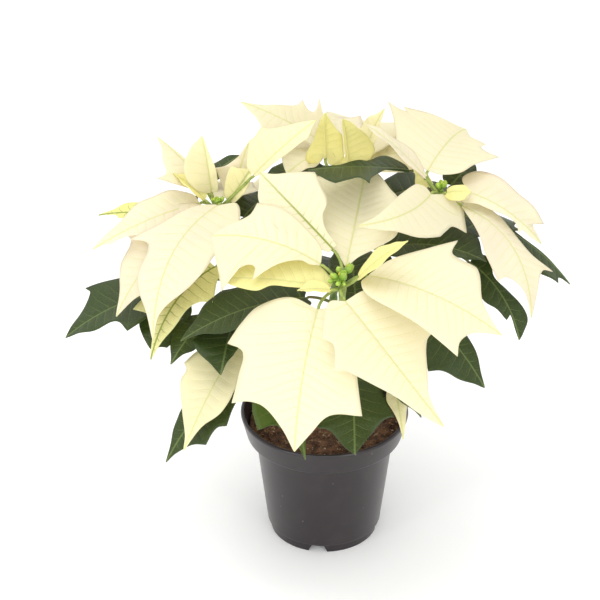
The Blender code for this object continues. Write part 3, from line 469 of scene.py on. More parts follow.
# %% Gather a piece
class Gathered:
    """Points, faces, slots and written numbers of one piece, gathered blade by blade."""

    NAMES = ("vein_row", "out_mm", "across", "fresh", "blush", "green", "under")

    def __init__(self):
        self.points, self.faces, self.slots = [], [], []
        self.numbers = {name: [] for name in self.NAMES}
        self.count = 0

    def add(self, points, faces, slot, **numbers):
        points = np.asarray(points).reshape(-1, 3)
        self.points.append(points)
        self.faces += [tuple(int(i) + self.count for i in face) for face in faces]
        self.slots += [slot] * len(faces) if np.isscalar(slot) else list(slot)
        for name in self.NAMES:
            value = np.ravel(np.asarray(numbers.get(name, 0.0), float))
            self.numbers[name].append(np.broadcast_to(value, (len(points),)))
        self.count += len(points)

    def piece(self, name, finishes):
        mesh = bpy.data.meshes.new(name)
        mesh.from_pydata(np.concatenate(self.points) * MM, [], self.faces)
        mesh.polygons.foreach_set("material_index", self.slots)
        mesh.polygons.foreach_set("use_smooth", [True] * len(self.faces))
        for number, values in self.numbers.items():
            mesh.attributes.new(number, "FLOAT", "POINT").data.foreach_set(
                "value", np.concatenate(values).astype(np.float32))
        for finish in finishes:
            mesh.materials.append(finish)
        mesh.update()
        return into_scene(name, mesh)


print("a piece carries", ", ".join(Gathered.NAMES))

# %% [markdown]
# Three kinds of faces come again and again: a flat grid for a blade, rings joined to a closed
# tube for a stalk or a stem, and a shape turned about its middle for a cup or the soil.
# Blender's own tools make all three, but not with a number at each point, so the points are
# laid out in rows here and these helpers join them up.

# %% Faces of grids, tubes and turned shapes
def full_turn(steps):
    """Evenly spaced angles round a full circle."""
    return np.linspace(0, 2 * math.pi, steps, endpoint=False)


def grid_faces(rows, columns, first=0, flip=False):
    index = np.arange(rows * columns).reshape(rows, columns) + first
    quads = np.stack([index[:-1, :-1], index[1:, :-1], index[1:, 1:], index[:-1, 1:]], -1)
    quads = quads.reshape(-1, 4)
    return quads[:, ::-1] if flip else quads


def turned_faces(rows, sides, top_first=False):
    """Faces of a turned shape whose first and last rings are shrunk to a point each."""
    index = np.arange(rows * sides).reshape(rows, sides)
    nexts = np.roll(index, -1, axis=1)
    quads = np.stack([index[:-1], nexts[:-1], nexts[1:], index[1:]], -1)[1:-1].reshape(-1, 4)
    tips = [(index[0, 0], after, here) for here, after in zip(index[1], nexts[1])]
    tips += [(index[-1, 0], here, after) for here, after in zip(index[-2], nexts[-2])]
    if top_first:
        quads = quads[:, [0, 3, 2, 1]]
        tips = [(tip, last, first) for tip, first, last in tips]
    return list(map(tuple, quads)) + tips


STALK_SIDES = 8


def ring_tube(centres, normals, directions, widths, depths, sides=STALK_SIDES):
    """Points and faces of a tube whose rings are flattened ellipses, closed at both ends."""
    across = unit(np.cross(directions, normals))
    up = unit(np.cross(across, directions))
    turn = full_turn(sides)[None, :, None]
    rings = (centres[:, None] + across[:, None] * (np.cos(turn) * widths[:, None, None])
             + up[:, None] * (np.sin(turn) * depths[:, None, None]))
    rows = len(centres)
    index = np.arange(rows * sides).reshape(rows, sides)
    nexts = np.roll(index, -1, axis=1)
    quads = np.stack([index[:-1], nexts[:-1], nexts[1:], index[1:]], -1).reshape(-1, 4)
    caps = [tuple(index[0][::-1]), tuple(index[-1])]
    return rings.reshape(-1, 3), list(map(tuple, quads)) + caps


print("ready to join up points")

# %% [markdown]
# ## Making one blade
# Half a blade is a grid whose rows run along the side veins and whose columns run beside the
# midrib. A bump map alone could show the quilting, but it would vanish at the outline. So the
# grid itself is pushed up between the veins, dipped along the midrib and waved at its edge.

# %% Lay out half a blade
RIB_DIP = 0.45
DIP_HALF_WIDTH = 1.3
EDGE_STEP = 1.7
VEIN_SPACING = 7.5
FEWEST_VEINS = 4
VEIN_SWAY = 0.04
FULL_QUILT_WIDTH = 0.12
COLUMNS = np.array((0, 0.04, 0.12, 0.24, 0.37, 0.5, 0.63, 0.76, 0.88, 1.0))


def mound(away, height, reach):
    """A smooth mound, or a hollow where the height is negative."""
    return height * np.exp(-(away / reach) ** 2)


def vein_stations(halves):
    """Where the rows of the grid leave the midrib, close enough for both outlines."""
    spread = [np.interp(np.arange(0, arc[-1], EDGE_STEP), arc, station)
              for station, _, _, arc in halves]
    corners = [station[::OUTLINE_STEPS] for station, _, _, _ in halves]
    return np.unique(np.round(np.concatenate(spread + corners + [[0, 1]]), 3))


def half_blade(at, length, look, half, sign, stations, dice):
    """Points, normals, vein row, millimetres out and share across, for one half."""
    station, along, out, _ = half
    edge_along = np.interp(stations, station, along)[:, None]
    edge_out = np.interp(stations, station, out)[:, None] * length
    foot = stations[:, None]
    v = COLUMNS[None, :]
    x = foot + (edge_along - foot) * v
    y = edge_out * v * sign
    points, normals = at(x, y)
    veins = max(FEWEST_VEINS, round(length / VEIN_SPACING))
    offset = 0.5 if sign < 0 else 0.0
    row = foot * veins + offset + VEIN_SWAY * np.sin(9 * v)
    body = np.clip(edge_out / (FULL_QUILT_WIDTH * length), 0, 1)
    quilt = (np.abs(np.sin(math.pi * row)) ** 0.7 - 0.6) * np.sin(math.pi * v**0.75) ** 0.7
    phase = dice.uniform(0, 6.28)
    beat = dice.uniform(1.6, 2.6)
    wave = np.sin(2 * math.pi * beat * foot + phase) * v**2
    taper = np.sin(math.pi * np.clip(foot, 0.02, 0.98)) ** 0.5
    dip = mound(y, -RIB_DIP, DIP_HALF_WIDTH) * (1 - foot)
    lift = (look.quilt * quilt + look.wave * wave) * body * taper + dip
    full = np.ones_like(x)
    return points + normals * lift[..., None], normals, row * full, np.abs(y), v * full


print("columns across half a blade:", len(COLUMNS))

# %% [markdown]
# The two halves meet at the midrib. Blender could thicken the sheet with a Solidify modifier.
# Here a second layer is laid half a millimetre below and joined to the first round the edge,
# because the finish has to know which side is the underside. Below the blade its stalk runs
# on as the rib, and tapers towards the tip.

# %% Grow a blade and its stalk
THICKNESS = 0.5
STALK_RINGS = 10
RIB_RINGS = 14
STALK_RADIUS = 1.35
RIB_RADIUS = 1.15
RIB_TIP_RADIUS = 0.3
RIB_END = 0.9
FLATTENED = 0.9
ELBOW_AT = 0.45
STALK_SLOT = 1
BETWEEN_VEINS = {"vein_row": 0.25, "out_mm": 9.0, "across": 1.0}


def grow_blade(piece, blade, root):
    """Adds one blade and its stalk to a piece. Root is where the stalk leaves its stem."""
    look = LOOKS[blade.look]
    length, at = blade_surface(blade)
    dice = np.random.RandomState(sum(map(ord, blade.name)))
    halves = [half_outline(knots, length) for knots in (blade.left, blade.right)]
    stations = vein_stations(halves)
    left, right = [half_blade(at, length, look, half, sign, stations, dice)
                   for sign, half in zip((1, -1), halves)]
    joined = [np.concatenate([a[:, ::-1], b[:, 1:]], axis=1) for a, b in zip(left, right)]
    points, normals, row, out, across = joined
    rows, columns = points.shape[:2]
    size = rows * columns
    top = (points + normals * (THICKNESS / 2)).reshape(-1, 3)
    low = (points - normals * (THICKNESS / 2)).reshape(-1, 3)
    numbers = {name: np.tile(value.ravel(), 2)
               for name, value in (("vein_row", row), ("out_mm", out), ("across", across))}
    index = np.arange(size).reshape(rows, columns)
    loop = np.concatenate([index[0], index[1:, -1], index[-1, -2::-1], index[-2:0:-1, 0]])
    after = np.roll(loop, -1)
    rim = np.stack([loop, after, after + size, loop + size], -1)
    back = grid_faces(rows, columns, size, flip=True)
    faces = np.concatenate([grid_faces(rows, columns), back, rim])
    piece.add(np.concatenate([top, low]), faces, look.skin, fresh=look.fresh, blush=look.blush,
              green=look.green, under=np.repeat((0.0, 1.0), size), **numbers)
    grow_stalk(piece, at, root, look)


def grow_stalk(piece, at, root, look):
    """The stalk from the stem to the blade, running on under the blade as its rib. The rib
    wears the blade's finish, with the numbers of a point between two veins."""
    start, up = at(0.0, 0.0)
    ahead = unit(at(0.04, 0.0)[0] - start)
    elbow = start - ahead * (ELBOW_AT * np.linalg.norm(start - root))
    t = np.linspace(0, 1, STALK_RINGS, endpoint=False)[:, None]
    stalk = root * (1 - t) ** 2 + elbow * (2 * t * (1 - t)) + start * t**2
    rib, rib_up = at(np.linspace(0.0, RIB_END, RIB_RINGS), np.zeros(RIB_RINGS))
    radius = np.concatenate([np.linspace(STALK_RADIUS, RIB_RADIUS, STALK_RINGS),
                             np.linspace(RIB_RADIUS, RIB_TIP_RADIUS, RIB_RINGS)])
    rib = rib - rib_up * (radius[STALK_RINGS:, None] * FLATTENED + RIB_DIP)
    centres = np.concatenate([stalk, rib])
    directions = unit(np.gradient(centres, axis=0))
    normals = np.concatenate([np.repeat(up[None], STALK_RINGS, 0), rib_up])
    points, faces = ring_tube(centres, normals, directions, radius, radius * FLATTENED)
    rib_begins = STALK_RINGS * STALK_SIDES
    slots = [STALK_SLOT if min(face) < rib_begins else look.skin for face in faces]
    piece.add(points, faces, slots, fresh=look.fresh, **BETWEEN_VEINS)


print("ready to grow blades")

# %% [markdown]
# ## Shoots
# Four shoots leave the fork of the old stem, bow outwards, and stand upright under their
# blooms. They could be curve objects with a bevel. As tubes of rings they can swell a little
# at each node. Bracts leave a shoot close together just under the flower cups, and leaves
# further down, each where the blade's last number says, as a part of the shoot's length.

# %% Shoot paths
FORK = (0.0, 0.0, 122.0)
HUBS = {
    "front": (12.0, -60.0, 258.0),
    "left": (-82.0, 42.0, 265.0),
    "right": (88.0, 49.0, 272.0),
    "back": (12.0, 88.0, 272.0),
}
SOIL_CROWN = 98.0
STEM_RADIUS = 4.2
SHOOT_RADIUS = 2.9
TOP_RADIUS = 2.6
PEDUNCLE = 16.0
BRACT_DROP = 5.0
LEAF_DROP = 8.0
STUB_END = 0.16
BOW_OUT = 0.5
BOW_UP = 0.28
UPRIGHT = 0.45
PATH_STEPS = 41
STEM_STEP = 1.6
FEWEST_RINGS = 6
STEM_SIDES = 16
SWELLING = {"height": 0.55, "reach": 3.0}
SWELLING_BELOW = 1.5
SCAR = {"height": 0.22, "reach": 0.9}
SCAR_ABOVE = 2.2


def shoot_path(shoot):
    """The shoot's length, and a function from how far up it (0 to 1) to its middle line."""
    fork = np.array(FORK)
    hub = np.array(HUBS[shoot])
    rise = np.array((0, 0, (hub - fork)[2]))
    spread = hub - fork - rise
    knots = [fork, fork + spread * BOW_OUT + rise * BOW_UP, hub - rise * UPRIGHT, hub]
    t = np.linspace(0, 1, PATH_STEPS)[:, None]
    points = (knots[0] * (1 - t) ** 3 + knots[1] * 3 * t * (1 - t) ** 2
              + knots[2] * 3 * t**2 * (1 - t) + knots[3] * t**3)
    gone = np.concatenate([[0], np.cumsum(np.linalg.norm(np.diff(points, axis=0), axis=1))])

    def at(part):
        return np.stack([np.interp(part * gone[-1], gone, points[:, k]) for k in range(3)], -1)

    return gone[-1], at


def leaf_part(shoot, blade):
    """How far up its shoot a leaf's stalk leaves."""
    length, _ = shoot_path(shoot)
    return min(blade.root, 1 - (PEDUNCLE + LEAF_DROP) / length)


def grow_stem(piece, shoot, first, last, radii, slot, nodes=()):
    """A stem between two parts of a shoot, swollen a little at each node and ringed there."""
    length, at = shoot_path(shoot)
    count = max(FEWEST_RINGS, int((last - first) * length / STEM_STEP))
    parts = np.linspace(first, last, count)
    centres = at(parts)
    radius = np.interp(parts, (first, last), radii)
    for node in nodes:
        away = (parts - node) * length
        radius = radius + mound(away + SWELLING_BELOW, **SWELLING)
        radius = radius - mound(away - SCAR_ABOVE, **SCAR)
    directions = unit(np.gradient(centres, axis=0))
    normals = np.broadcast_to((0.0, -1.0, 0.3), centres.shape)
    points, faces = ring_tube(centres, normals, directions, radius, radius, STEM_SIDES)
    piece.add(points, faces, slot)


print("shoots are", ", ".join(f"{shoot} {shoot_path(shoot)[0]:.0f} mm" for shoot in HUBS))

# %% [markdown]
# ## Growing blooms and leafy shoots
# One piece holds a bloom's bracts with the bare top of its shoot, and another holds the
# shoot below it with its leaves. All of the plant could be one mesh, but then it couldn't take
# the place of its solids one by one. Each solid stays behind for contact.

# %% Growing functions
SHOOT_GAP = 0.3


def settle(made, node):
    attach(made, "root")
    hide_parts(node)
    print(made.name, "has", len(made.data.polygons), "faces")


def grow_bloom(shoot, bracts):
    piece = Gathered()
    length, at = shoot_path(shoot)
    grow_stem(piece, shoot, 1 - PEDUNCLE / length, 1, (TOP_RADIUS, TOP_RADIUS), 1,
              nodes=(1 - BRACT_DROP / length,))
    for bract in bracts:
        grow_blade(piece, bract, at(1 - BRACT_DROP / length))
    made = piece.piece(shoot + "_bloom", (cream_bract, bract_stalk))
    settle(made, f"bloom_{shoot}_bracts")


def grow_leaves(shoot, leaves):
    piece = Gathered()
    length, at = shoot_path(shoot)
    parts = [leaf_part(shoot, leaf) for leaf in leaves]
    grow_stem(piece, shoot, STUB_END, 1 - (PEDUNCLE + SHOOT_GAP) / length,
              (SHOOT_RADIUS, TOP_RADIUS), 2, nodes=parts)
    for leaf, part in zip(leaves, parts):
        grow_blade(piece, leaf, at(part))
    finishes = (dark_leaf, leaf_stalk, green_stem, half_green_bract)
    made = piece.piece(shoot + "_leafy_shoot", finishes)
    settle(made, "shoot_" + shoot)


print("ready to grow blooms")

# %% [markdown]
# ## The front bloom
# The bloom nearest the viewer. Its big bracts hang towards the front and right, and a small
# yellow one is still folded beside the flower cups. Dice could scatter bracts round a bloom,
# but these are set one by one to match the photograph. Each entry of the table is one bract:
# its name, its look, where its blade starts and ends, its roll, arch, sway and fold, and its
# two half outlines.

# %% Grow the front bloom
FRONT_BRACTS = (
    Blade("front_low", "cream", (-6, -82, 248), (-23, -167, 181), 0, 0.03, -0.02, 5,
          ((-0.03, 0.12), (0.08, 0.27), (0.45, 0.36), (0.74, 0.43, 1), (0.75, 0.22), (0.88, 0.10)),
          ((-0.04, 0.20), (0.07, 0.39), (0.20, 0.47), (0.35, 0.53, 1), (0.39, 0.42), (0.54, 0.42),
           (0.72, 0.44, 1), (0.70, 0.33), (0.73, 0.22), (0.86, 0.09))),
    Blade("front_right", "cream", (14, -82, 255), (84, -147, 189), -8, 0.07, -0.04, 5,
          ((-0.01, 0.16), (0.06, 0.29), (0.24, 0.36), (0.36, 0.34), (0.48, 0.35, 1), (0.51, 0.27),
           (0.66, 0.16), (0.80, 0.05)),
          ((-0.03, 0.10), (0.04, 0.19), (0.18, 0.33, 1), (0.24, 0.29), (0.38, 0.41, 1),
           (0.42, 0.32), (0.62, 0.19), (0.88, 0.07))),
    Blade("front_far_right", "cream", (31, -58, 262), (126, -110, 243), -4, 0.08, 0, 5,
          ((0.06, 0.20), (0.23, 0.40), (0.37, 0.56, 1), (0.40, 0.42), (0.49, 0.39), (0.61, 0.38),
           (0.77, 0.15), (0.88, 0.06)),
          ((0.0, 0.10), (0.12, 0.24), (0.35, 0.33), (0.67, 0.40), (0.88, 0.44, 1), (0.83, 0.30),
           (0.85, 0.17), (0.93, 0.07))),
    Blade("front_young", "young", (24, -62, 263), (59, -68, 297), -10, 0.05, 0, 14,
          SLIM, ((0.0, 0.10), (0.20, 0.26), (0.48, 0.34), (0.76, 0.22), (0.92, 0.07))),
    Blade("front_back", "cream", (15, -41, 260), (31, 56, 287), 0, 0.05, -0.01, 8,
          ((0.05, 0.05), (0.12, 0.14), (0.26, 0.25), (0.44, 0.32), (0.60, 0.34), (0.79, 0.40, 1),
           (0.84, 0.18)),
          ((0.08, 0.08), (0.16, 0.19), (0.30, 0.33), (0.62, 0.29), (0.74, 0.22), (0.93, 0.10))),
    Blade("front_back_left", "green_ribbed", (5, -35, 271), (-49, 7, 312), 15, 0.02, 0.01, 12,
          ((0.0, 0.06), (0.20, 0.20), (0.45, 0.32), (0.76, 0.25), (0.92, 0.08)),
          ((0.0, 0.05), (0.18, 0.08), (0.30, 0.16), (0.36, 0.27), (0.46, 0.33), (0.66, 0.39, 1),
           (0.80, 0.22), (0.92, 0.07))),
    Blade("front_yellow_left", "young", (3, -65, 255), (-78, -66, 264), 10, 0.05, 0, 5,
          ((0.02, 0.05), (0.36, 0.08), (0.53, 0.09), (0.67, 0.19), (0.84, 0.13)),
          ((-0.02, 0.10), (0.12, 0.26), (0.36, 0.33), (0.65, 0.33), (0.85, 0.24), (0.95, 0.10))),
    Blade("front_small_left", "young", (3, -70, 257), (-21, -76, 260), 5, 0.05, 0, 20,
          HALF_CUP, HALF_CUP),
    Blade("front_left", "puckered", (-4, -50, 267), (-83, -35, 282), 30, 0.12, -0.03, 4,
          ((0.08, 0.06), (0.17, 0.07), (0.36, 0.22), (0.53, 0.44, 1), (0.57, 0.28), (0.72, 0.38),
           (0.80, 0.60, 1), (0.85, 0.44), (0.95, 0.20)),
          ((0.05, 0.13), (0.16, 0.21), (0.42, 0.33), (0.67, 0.34, 1), (0.72, 0.22), (0.90, 0.08))),
)
grow_bloom("front", FRONT_BRACTS)

# %% [markdown]
# ## Leaves of the front shoot
# Dark leaves hang below the front bloom, down to the pot's rim as the camera sees it. They
# could have steps of their own, but a leaf has the same parts as a bract. So it is grown by
# the same steps, with a dark finish and a paler underside.

# %% Grow the front leaves
FRONT_LEAVES = (
    Blade("front_g3", "leaf", (-15, -46, 236), (-107, -64, 209), 0, 0.08, 0, 5,
          MID_TOOTH,
          ((-0.02, 0.12), (0.11, 0.21), (0.27, 0.27), (0.44, 0.30), (0.58, 0.32, 1), (0.66, 0.26),
           (0.76, 0.22), (0.89, 0.10)), 0.86),
    Blade("front_g4", "leaf", (-70, -45, 209), (-77, -90, 196), 0, 0.06, 0, 5,
          ((-0.02, 0.10), (0.20, 0.24), (0.46, 0.22), (0.63, 0.12), (0.82, 0.05)),
          ((-0.02, 0.12), (0.20, 0.40), (0.46, 0.53, 1), (0.61, 0.44), (0.74, 0.29), (0.92, 0.10)),
          0.62),
    Blade("front_g5", "leaf", (-60, -55, 176), (-118, -105, 129), 0, 0.10, 0, 5,
          ((-0.02, 0.10), (0.15, 0.18), (0.34, 0.25), (0.49, 0.34, 1), (0.55, 0.28),
           (0.71, 0.31, 1), (0.78, 0.15), (0.90, 0.05)),
          ((0.0, 0.10), (0.20, 0.16), (0.57, 0.17), (0.70, 0.13), (0.85, 0.05)), 0.42),
    Blade("front_rear", "leaf", (22, -45, 233), (19, 35, 233), 0, 0.06, 0, 5,
          ((0.0, 0.10), (0.30, 0.20), (0.60, 0.22), (0.85, 0.10)),
          ((0.0, 0.12), (0.30, 0.34), (0.60, 0.36), (0.85, 0.15)), 0.80),
    Blade("front_g7", "leaf", (20, -70, 186), (21, -130, 153), 0, 0.06, 0, 4,
          ((-0.02, 0.10), (0.25, 0.30), (0.45, 0.37), (0.60, 0.43, 1), (0.64, 0.31), (0.88, 0.10)),
          ((-0.02, 0.10), (0.25, 0.30), (0.50, 0.36), (0.72, 0.39, 1), (0.75, 0.26), (0.93, 0.10)),
          0.50),
    Blade("front_g8", "bright_leaf", (-30, -65, 183), (-15, -125, 145), 0, 0.06, 0, 4,
          ((0.0, 0.10), (0.15, 0.22), (0.40, 0.20), (0.60, 0.11), (0.80, 0.04)),
          ((0.0, 0.12), (0.33, 0.42), (0.64, 0.43, 1), (0.62, 0.24), (0.76, 0.10), (0.88, 0.04)),
          0.46),
    Blade("front_under_right", "leaf", (43, -74, 188), (70, -104, 168), 0, 0.08, 0, 4,
          SLIM, SLIM, 0.54),
)
grow_leaves("front", FRONT_LEAVES)

# %% [markdown]
# ## The left bloom
# Its outer bracts are old, a little rosy and drooping, and the inner ones stand up, folded
# and still yellow. A turned copy of the front bloom would be quicker, but would look like one.
# So it has its own table.

# %% Grow the left bloom
LEFT_BRACTS = (
    Blade("left_low", "rosy", (-81, 28, 272), (-128, -52, 202), -6, 0.18, -0.03, 3,
          ((-0.07, 0.09), (0.11, 0.30), (0.19, 0.36), (0.31, 0.46, 1), (0.35, 0.33), (0.52, 0.30),
           (0.65, 0.22), (0.85, 0.04)),
          ((0.08, 0.11), (0.29, 0.20), (0.45, 0.34, 1), (0.45, 0.20), (0.66, 0.18), (0.86, 0.06))),
    Blade("left_far", "rosy", (-95, 44, 265), (-175, 8, 245), 12, 0.06, 0, -6,
          ((0.0, 0.14), (0.18, 0.32), (0.40, 0.36), (0.58, 0.24, 1), (0.62, 0.12), (0.72, 0.06),
           (0.84, 0.05, 1), (0.90, 0.02)),
          ((0.0, 0.12), (0.05, 0.19), (0.16, 0.28), (0.34, 0.27), (0.44, 0.25), (0.62, 0.17),
           (0.80, 0.09), (0.92, 0.04))),
    Blade("left_under", "rosy", (-92, 28, 266), (-157, -20, 203), 0, 0.10, 0, 4,
          OVAL, MID_TOOTH),
    Blade("left_upright", "pale", (-86, 49, 271), (-93, 58, 315), 20, 0.05, 0, 14,
          ((0.05, 0.14), (0.16, 0.30), (0.40, 0.43), (0.65, 0.42), (0.86, 0.25), (0.95, 0.09)),
          ((0.03, 0.10), (0.30, 0.13), (0.54, 0.10), (0.76, 0.05), (0.90, 0.03))),
    Blade("left_back", "rosy", (-91, 56, 270), (-128, 84, 300), 0, 0.06, 0, 5,
          ((0.05, 0.14), (0.26, 0.42), (0.46, 0.66, 1), (0.46, 0.46), (0.65, 0.29), (0.82, 0.14)),
          ((0.0, 0.10), (0.25, 0.10), (0.53, 0.05), (0.76, 0.02))),
    Blade("left_yellow", "young", (-91, 42, 269), (-115, 50, 287), 0, 0.05, 0, 20,
          HALF_CUP, HALF_CUP),
    Blade("left_folded", "soft_green", (-72, 42, 268), (-56, 46, 293), -60, 0.05, 0, 10,
          ((0.0, 0.14), (0.21, 0.29), (0.50, 0.40), (0.78, 0.47, 1), (0.88, 0.22)),
          ((0.0, 0.12), (0.50, 0.20), (0.85, 0.12))),
    Blade("left_inner", "pale", (-54, 42, 290), (-7, 53, 331), -32, 0.05, 0, 6,
          ((0.0, 0.14), (0.22, 0.36, 1), (0.30, 0.34), (0.44, 0.37, 1), (0.50, 0.29), (0.80, 0.12)),
          ((0.05, 0.05), (0.20, 0.08), (0.50, 0.11), (0.80, 0.14, 1), (0.90, 0.06))),
    # left_blush is a lobe turned away into the shade. Its rosy look is painted shade: the
    # pinkish-orange that the shade gives there, not a blush of its own.
    Blade("left_blush", "rosy", (-70, 58, 266), (-58, 62, 307), -60, 0.05, 0, 4,
          ((0.0, 0.14), (0.10, 0.24), (0.24, 0.34), (0.37, 0.42, 1), (0.50, 0.24), (0.70, 0.10),
           (0.90, 0.04)),
          ((0.0, 0.12), (0.40, 0.17), (0.75, 0.14), (0.92, 0.09))),
    Blade("left_behind_inner", "rosy", (-78, 62, 260), (-70, 124, 238), 0, 0.06, 0, 4,
          MID_TOOTH, HIGH_TOOTH),
)
grow_bloom("left", LEFT_BRACTS)

# %% [markdown]
# ## Leaves of the left shoot
# One leaf spreads far out to the left and a yellow one lies above it. Short ones fill the
# space under the half-green bract, and others show behind the bloom. They are grown like the
# front ones, and only their outlines and places differ.

# %% Grow the left leaves
LEFT_LEAVES = (
    Blade("left_g1", "leaf", (-125, 14, 204), (-197, -7, 176), 0, 0.08, 0, 5,
          ((-0.02, 0.12), (0.14, 0.36), (0.44, 0.52, 1), (0.50, 0.30), (0.76, 0.18)),
          ((-0.02, 0.12), (0.14, 0.34), (0.63, 0.43, 1), (0.61, 0.33), (0.80, 0.16)), 0.70),
    Blade("left_g2", "leaf", (-90, -20, 202), (-115, -60, 186), 0, 0.06, 0, 5,
          MID_TOOTH, MID_TOOTH, 0.58),
    Blade("left_g5", "leaf", (-109, 2, 206), (-131, -33, 182), 0, 0.08, 0, 5,
          ((-0.02, 0.12), (0.20, 0.34), (0.50, 0.38), (0.75, 0.33), (0.90, 0.28, 1), (0.93, 0.14)),
          ((-0.02, 0.12), (0.15, 0.38), (0.40, 0.46), (0.67, 0.39), (0.84, 0.22), (0.95, 0.09)),
          0.64),
    Blade("left_back_low", "yellow_leaf", (-108, 66, 238), (-174, 65, 242), 0, 0.06, 0, 5,
          ((-0.02, 0.12), (0.30, 0.20), (0.60, 0.13), (0.76, 0.11, 1), (0.81, 0.04)),
          ((-0.02, 0.12), (0.25, 0.24), (0.45, 0.25), (0.60, 0.19), (0.75, 0.14), (0.90, 0.05)),
          0.82),
    Blade("left_rear", "leaf", (-92, 72, 220), (-126, 140, 194), 0, 0.12, 0, 5,
          HIGH_TOOTH, MID_TOOTH, 0.76),
    Blade("left_inner_rear", "leaf", (-62, 66, 240), (-34, 122, 226), 0, 0.10, 0, 5,
          MID_TOOTH, MID_TOOTH, 0.80),
    Blade("left_patch", "leaf", (-95, 72, 262), (-62, 106, 273), 0, 0.08, 0, 5,
          SLIM, SLIM, 0.86),
)
grow_leaves("left", LEFT_LEAVES)

# %% [markdown]
# ## The right bloom
# A big bract with four teeth spreads out behind its flower cups, and two small yellow ones
# stand beside them. A low one reaches left, over the foot of the front bloom's long back
# bract. Copies of one bract would do from afar, but near the camera their sameness shows.

# %% Grow the right bloom
RIGHT_BRACTS = (
    Blade("right_low", "cream", (80, 35, 278), (23, -38, 292), 34, 0.04, 0.08, 5,
          ((-0.20, 0.18), (-0.10, 0.28), (0.01, 0.34), (0.13, 0.42, 1), (0.18, 0.31), (0.27, 0.30),
           (0.37, 0.31, 1), (0.56, 0.22), (0.72, 0.12)),
          ((0.0, 0.08), (0.10, 0.15), (0.45, 0.15), (0.82, 0.05))),
    Blade("right_top", "cream", (78, 55, 287), (111, 134, 280), -12, 0.08, 0.01, 4,
          ((0.0, 0.18), (0.07, 0.32), (0.24, 0.42), (0.53, 0.59), (0.69, 0.70, 1), (0.69, 0.52),
           (0.77, 0.56, 1), (0.84, 0.42), (0.92, 0.22)),
          ((0.0, 0.12), (0.10, 0.27), (0.26, 0.34), (0.37, 0.40), (0.55, 0.48, 1), (0.56, 0.36),
           (0.60, 0.28), (0.67, 0.30, 1), (0.76, 0.14), (0.90, 0.05))),
    Blade("right_side", "rosy", (108, 45, 274), (163, 15, 246), -12, 0.12, 0, -10,
          ((-0.19, 0.24), (-0.15, 0.44), (0.05, 0.48), (0.28, 0.43), (0.49, 0.37), (0.72, 0.32),
           (0.90, 0.27, 1), (0.80, 0.14)),
          ((0.0, 0.14), (0.21, 0.11), (0.45, 0.07), (0.65, 0.06), (0.75, 0.12, 1), (0.76, 0.06),
           (0.88, 0.05))),
    Blade("right_droop", "rosy", (104, 38, 266), (154, -31, 209), 14, 0.16, 0.05, -4,
          ((0.0, 0.10), (0.14, 0.14), (0.46, 0.13), (0.59, 0.16), (0.72, 0.30, 1), (0.71, 0.18),
           (0.86, 0.08)),
          ((0.09, 0.08), (0.29, 0.20), (0.47, 0.28), (0.59, 0.28), (0.73, 0.26, 1), (0.71, 0.17),
           (0.83, 0.05))),
    Blade("right_band", "rosy", (76, 46, 286), (28, 62, 324), -12, 0.05, 0, 5,
          SLIM, ((0.0, 0.06), (0.20, 0.17), (0.48, 0.20), (0.76, 0.13), (0.92, 0.04))),
    Blade("right_small_yellow", "young", (92, 42, 275), (110, 34, 280), -30, 0.08, 0, 6,
          ((0.0, 0.16), (0.26, 0.23), (0.64, 0.27), (0.88, 0.12)),
          ((0.0, 0.20), (0.30, 0.42), (0.58, 0.46), (0.84, 0.38, 1), (0.92, 0.14))),
    Blade("right_small_green", "young", (80, 51, 276), (67, 51, 291), -75, 0.05, 0, 6,
          ((0.0, 0.14), (0.40, 0.20), (0.80, 0.10)),
          ((0.0, 0.20), (0.12, 0.34), (0.35, 0.52, 1), (0.64, 0.24), (0.88, 0.10))),
    Blade("right_behind", "rosy", (104, 54, 259), (136, 94, 243), 0, 0.06, 0, 4,
          SLIM, HALF_CUP),
)
grow_bloom("right", RIGHT_BRACTS)

# %% [markdown]
# ## Leaves of the right shoot
# These hang down to the right, well above the pot's rim, and one reaches left behind the
# front bloom. Each could be a flat card with a cut-out outline, but a folded and bent surface
# catches the light as the real leaf does.

